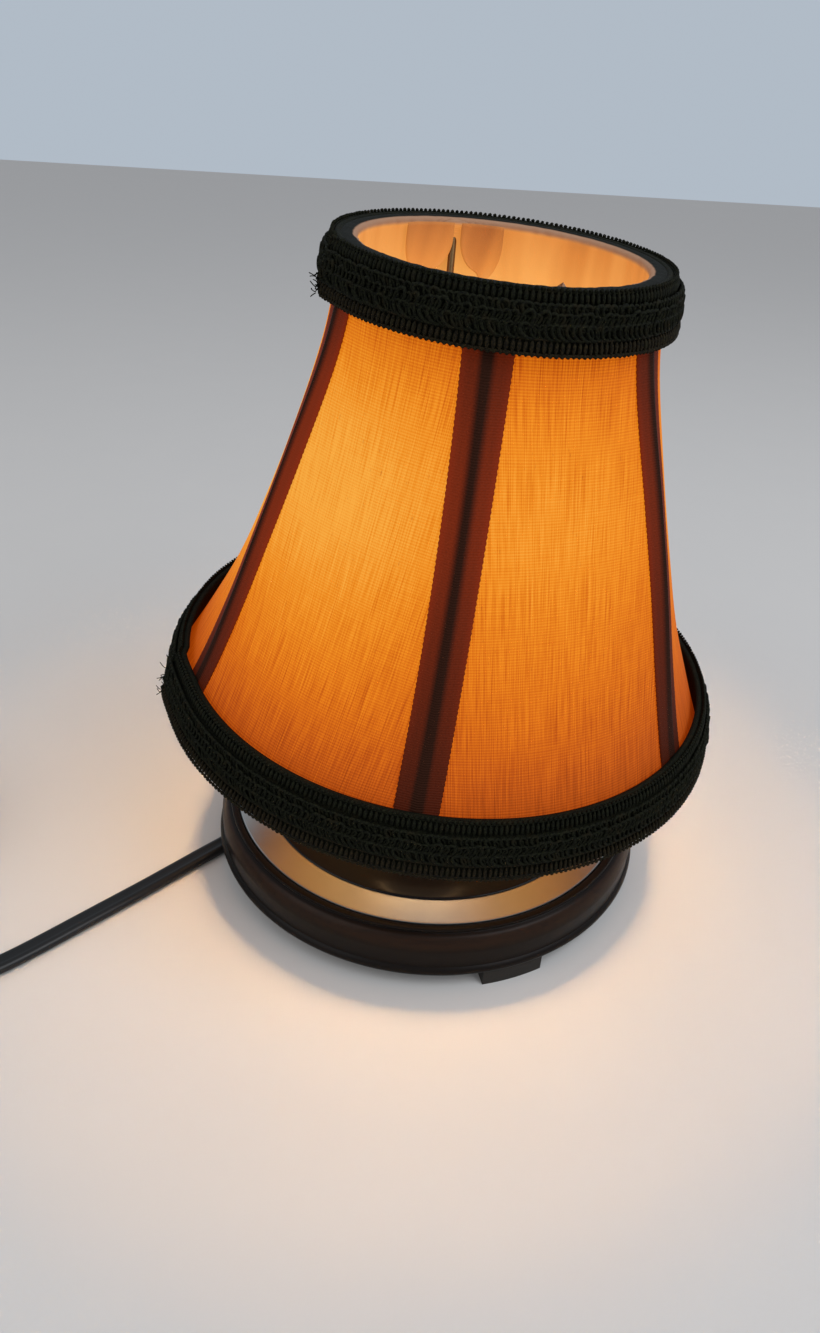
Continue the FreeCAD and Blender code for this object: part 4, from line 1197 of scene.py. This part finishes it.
def plainFinish(name, low, high, rough, scale, metal=0.0, bumpy=0.2):
    finish = Finish(name)
    broad = finish.grain(finish.place(), scale, 3.0)
    fine = finish.grain(finish.place(), scale * 14.0, 2.0)
    return finish.surface(
        BaseColor=finish.mix(broad, low, high),
        Metallic=metal,
        SpecularIORLevel=0.3,
        Roughness=rough + fine * 0.15,
        Normal=finish.bump(fine, bumpy, 0.0002),
    )


makeTurned("turnedBase", baseDetail, stainFinish(baseDetail))
makeTurned("nickelRing", plateDetail, nickelFinish())
makeTurned("blackDisc", discDetail,
           glossFinish("blackEnamel", (0.004, 0.004, 0.005), (0.009, 0.009, 0.01), 0.12))
makeTurned("candleCup", cupDetail,
           plainFinish("bronzePaint", (0.022, 0.014, 0.009), (0.045, 0.028, 0.016), 0.32, 90.0, 0.3))
makeTurned("candleTube", sleeveDetail,
           plainFinish("ivorySleeve", (0.66, 0.58, 0.43), (0.76, 0.69, 0.55), 0.42, 60.0))
print("base turned")


# the bulb glows; its glass is frosted

bulbDetail = {
    "middle": 0.099,
    "hotReach": 0.045,
    "glass": (0.42, 0.34, 0.25),
    "glows": ((0.8, 0.42, 0.17), (0.86, 0.66, 0.42)),
    "wire": (0.9, 0.7, 0.45),
    "wireGlows": ((1.0, 0.62, 0.25), (1.0, 0.75, 0.4)),
    "wireStrength": 2.0,
}


def bulbFinish(detail):
    finish = Finish("frostedGlow")
    z = finish.split(finish.place())[2]
    hot = 1.0 - (z - detail["middle"]).size().ramp(0.0, detail["hotReach"])
    frost = finish.grain(finish.place(), 900.0, 2.0)
    return finish.surface(
        BaseColor=detail["glass"],
        Roughness=0.45 + frost * 0.2,
        EmissionColor=finish.mix(hot, *detail["glows"]),
        EmissionStrength=1.0,
        Normal=finish.bump(frost, 0.1, 0.0002),
    )


def filamentFinish(detail):
    finish = Finish("glowingWire")
    spark = finish.grain(finish.place(), 300.0, 2.0)
    return finish.surface(
        BaseColor=detail["wire"],
        Roughness=0.4 + spark * 0.1,
        EmissionColor=finish.mix(spark, *detail["wireGlows"]),
        EmissionStrength=detail["wireStrength"],
    )


# finishes for the pieces whose shape stays as it is

keptFinishes = [
    (bulbFinish(bulbDetail), ["bulb_glass"]),
    (filamentFinish(bulbDetail), ["bulb_filament"]),
    (plainFinish("brass", (0.58, 0.4, 0.15), (0.7, 0.5, 0.22), 0.25, 120.0, 1.0, 0.1),
     ["socket_shell", "socket_contact", "terminal_screws", "plug_blades", "bulb_cap"]),
    (plainFinish("zincSteel", (0.5, 0.5, 0.5), (0.62, 0.62, 0.6), 0.32, 150.0, 1.0, 0.1),
     ["base_screws", "nipple_nuts", "socket_bracket", "switch_screws", "threaded_nipple"]),
    (glossFinish("blackPlastic", (0.008, 0.008, 0.008), (0.014, 0.013, 0.013), 0.22),
     ["switch_lower", "switch_upper", "switch_wheel", "plug_body", "coil_tie"]),
    (plainFinish("footRubber", (0.012, 0.01, 0.008), (0.024, 0.02, 0.016), 0.62, 200.0),
     ["foot_1", "foot_2", "foot_3", "cord_grommet"]),
    (plainFinish("blackCover", (0.01, 0.01, 0.01), (0.02, 0.019, 0.018), 0.55, 90.0),
     ["bottom_plate"]),
    (plainFinish("clipWire", (0.11, 0.06, 0.025), (0.2, 0.12, 0.05), 0.34, 220.0, 0.9, 0.1),
     ["bulb_clip"]),
    (plainFinish("paintedWire", (0.52, 0.45, 0.34), (0.66, 0.58, 0.46), 0.5, 160.0),
     ["shade_bottom_ring", "shade_top_ring"] + [f"shade_rib_{k + 1}" for k in range(shadeShape["panels"])]),
    (plainFinish("phenolic", (0.014, 0.009, 0.006), (0.03, 0.02, 0.012), 0.4, 110.0),
     ["socket_body", "bulb_contact"]),
    (glossFinish("leadJacket", (0.012, 0.012, 0.012), (0.02, 0.02, 0.02), 0.35), ["cord_leads"]),
]
for finish, names in keptFinishes:
    for name in names:
        dress(nodes[name], finish)
print("finishes on", sum(len(names) for finish, names in keptFinishes), "pieces")


# floor, light and background

stageDetail = {
    "floorSize": 6.0,
    "floorColours": ((0.58, 0.575, 0.565), (0.63, 0.62, 0.6)),
    "aim": (0.0, 0.0, 0.08),
    # name, kind, place, power, size, colour, whether it lights the floor alone
    "lamps": [
        ("keyLight", "AREA", (0.55, -0.35, 0.85), 5.5, 0.7, (0.93, 0.96, 1.0), False),
        ("fillLight", "AREA", (-0.7, -0.5, 0.6), 2.2, 0.8, (1.0, 0.97, 0.93), False),
        ("bulbLight", "POINT", (0.0, 0.0, 0.099), 0.14, 0.019, (1.0, 0.6, 0.28), False),
        ("bulbPool", "POINT", (0.0, 0.0, 0.099), 4.4, 0.019, (1.0, 0.6, 0.29), True),
    ],
    "worldColour": (0.93, 0.95, 1.0),
    "worldStrength": 0.55,
    "backdrop": (0.44, 0.5, 0.57),
}


def addFloor(detail):
    half = detail["floorSize"] / 2
    floor = sheetMesh("floor", [[Vector((x, y, 0)) for x in (-half, half)] for y in (-half, half)])
    finish = Finish("paleFloor")
    drift = finish.grain(finish.place(), 30.0, 3.0)
    dress(floor, finish.surface(BaseColor=finish.mix(drift * 0.3, *detail["floorColours"]), Roughness=0.9))
    return floor


def addLamp(name, kind, place, power, size, colour, only, aim):
    light = bpy.data.lights.new(name, kind)
    light.energy = power
    light.color = colour
    setattr(light, "size" if kind == "AREA" else "shadow_soft_size", size)
    lamp = bpy.data.objects.new(name, light)
    lamp.location = place
    lamp.rotation_euler = (Vector(aim) - Vector(place)).to_track_quat("-Z", "Y").to_euler()
    bpy.context.scene.collection.objects.link(lamp)
    if only:
        reach = bpy.data.collections.new(name + "Reach")
        reach.objects.link(only)
        lamp.light_linking.receiver_collection = reach


# the camera, reflections and glass see the backdrop; the world lights the lamp by its own colour

def addWorld(detail):
    world = bpy.data.worlds.new("studio")
    bpy.context.scene.world = world
    world.use_nodes = True
    graph = Graph(world.node_tree)
    rays = graph.add("ShaderNodeLightPath").outputs
    seen = Socket(graph, rays["Is Camera Ray"]).atLeast(Socket(graph, rays["Is Glossy Ray"]))
    lit = graph.node("ShaderNodeBackground", None, {0: detail["worldColour"], 1: detail["worldStrength"]})
    plain = graph.node("ShaderNodeBackground", None, {0: detail["backdrop"], 1: 1.0})
    share = seen.atLeast(Socket(graph, rays["Is Transmission Ray"]))
    graph.add("ShaderNodeOutputWorld", None,
              {0: graph.node("ShaderNodeMixShader", None, {0: share, 1: lit, 2: plain})})


floor = addFloor(stageDetail)
for *lampValues, floorOnly in stageDetail["lamps"]:
    addLamp(*lampValues, floor if floorOnly else None, stageDetail["aim"])
addWorld(stageDetail)
bpy.context.scene.view_settings.view_transform = "Standard"
print("stage set")
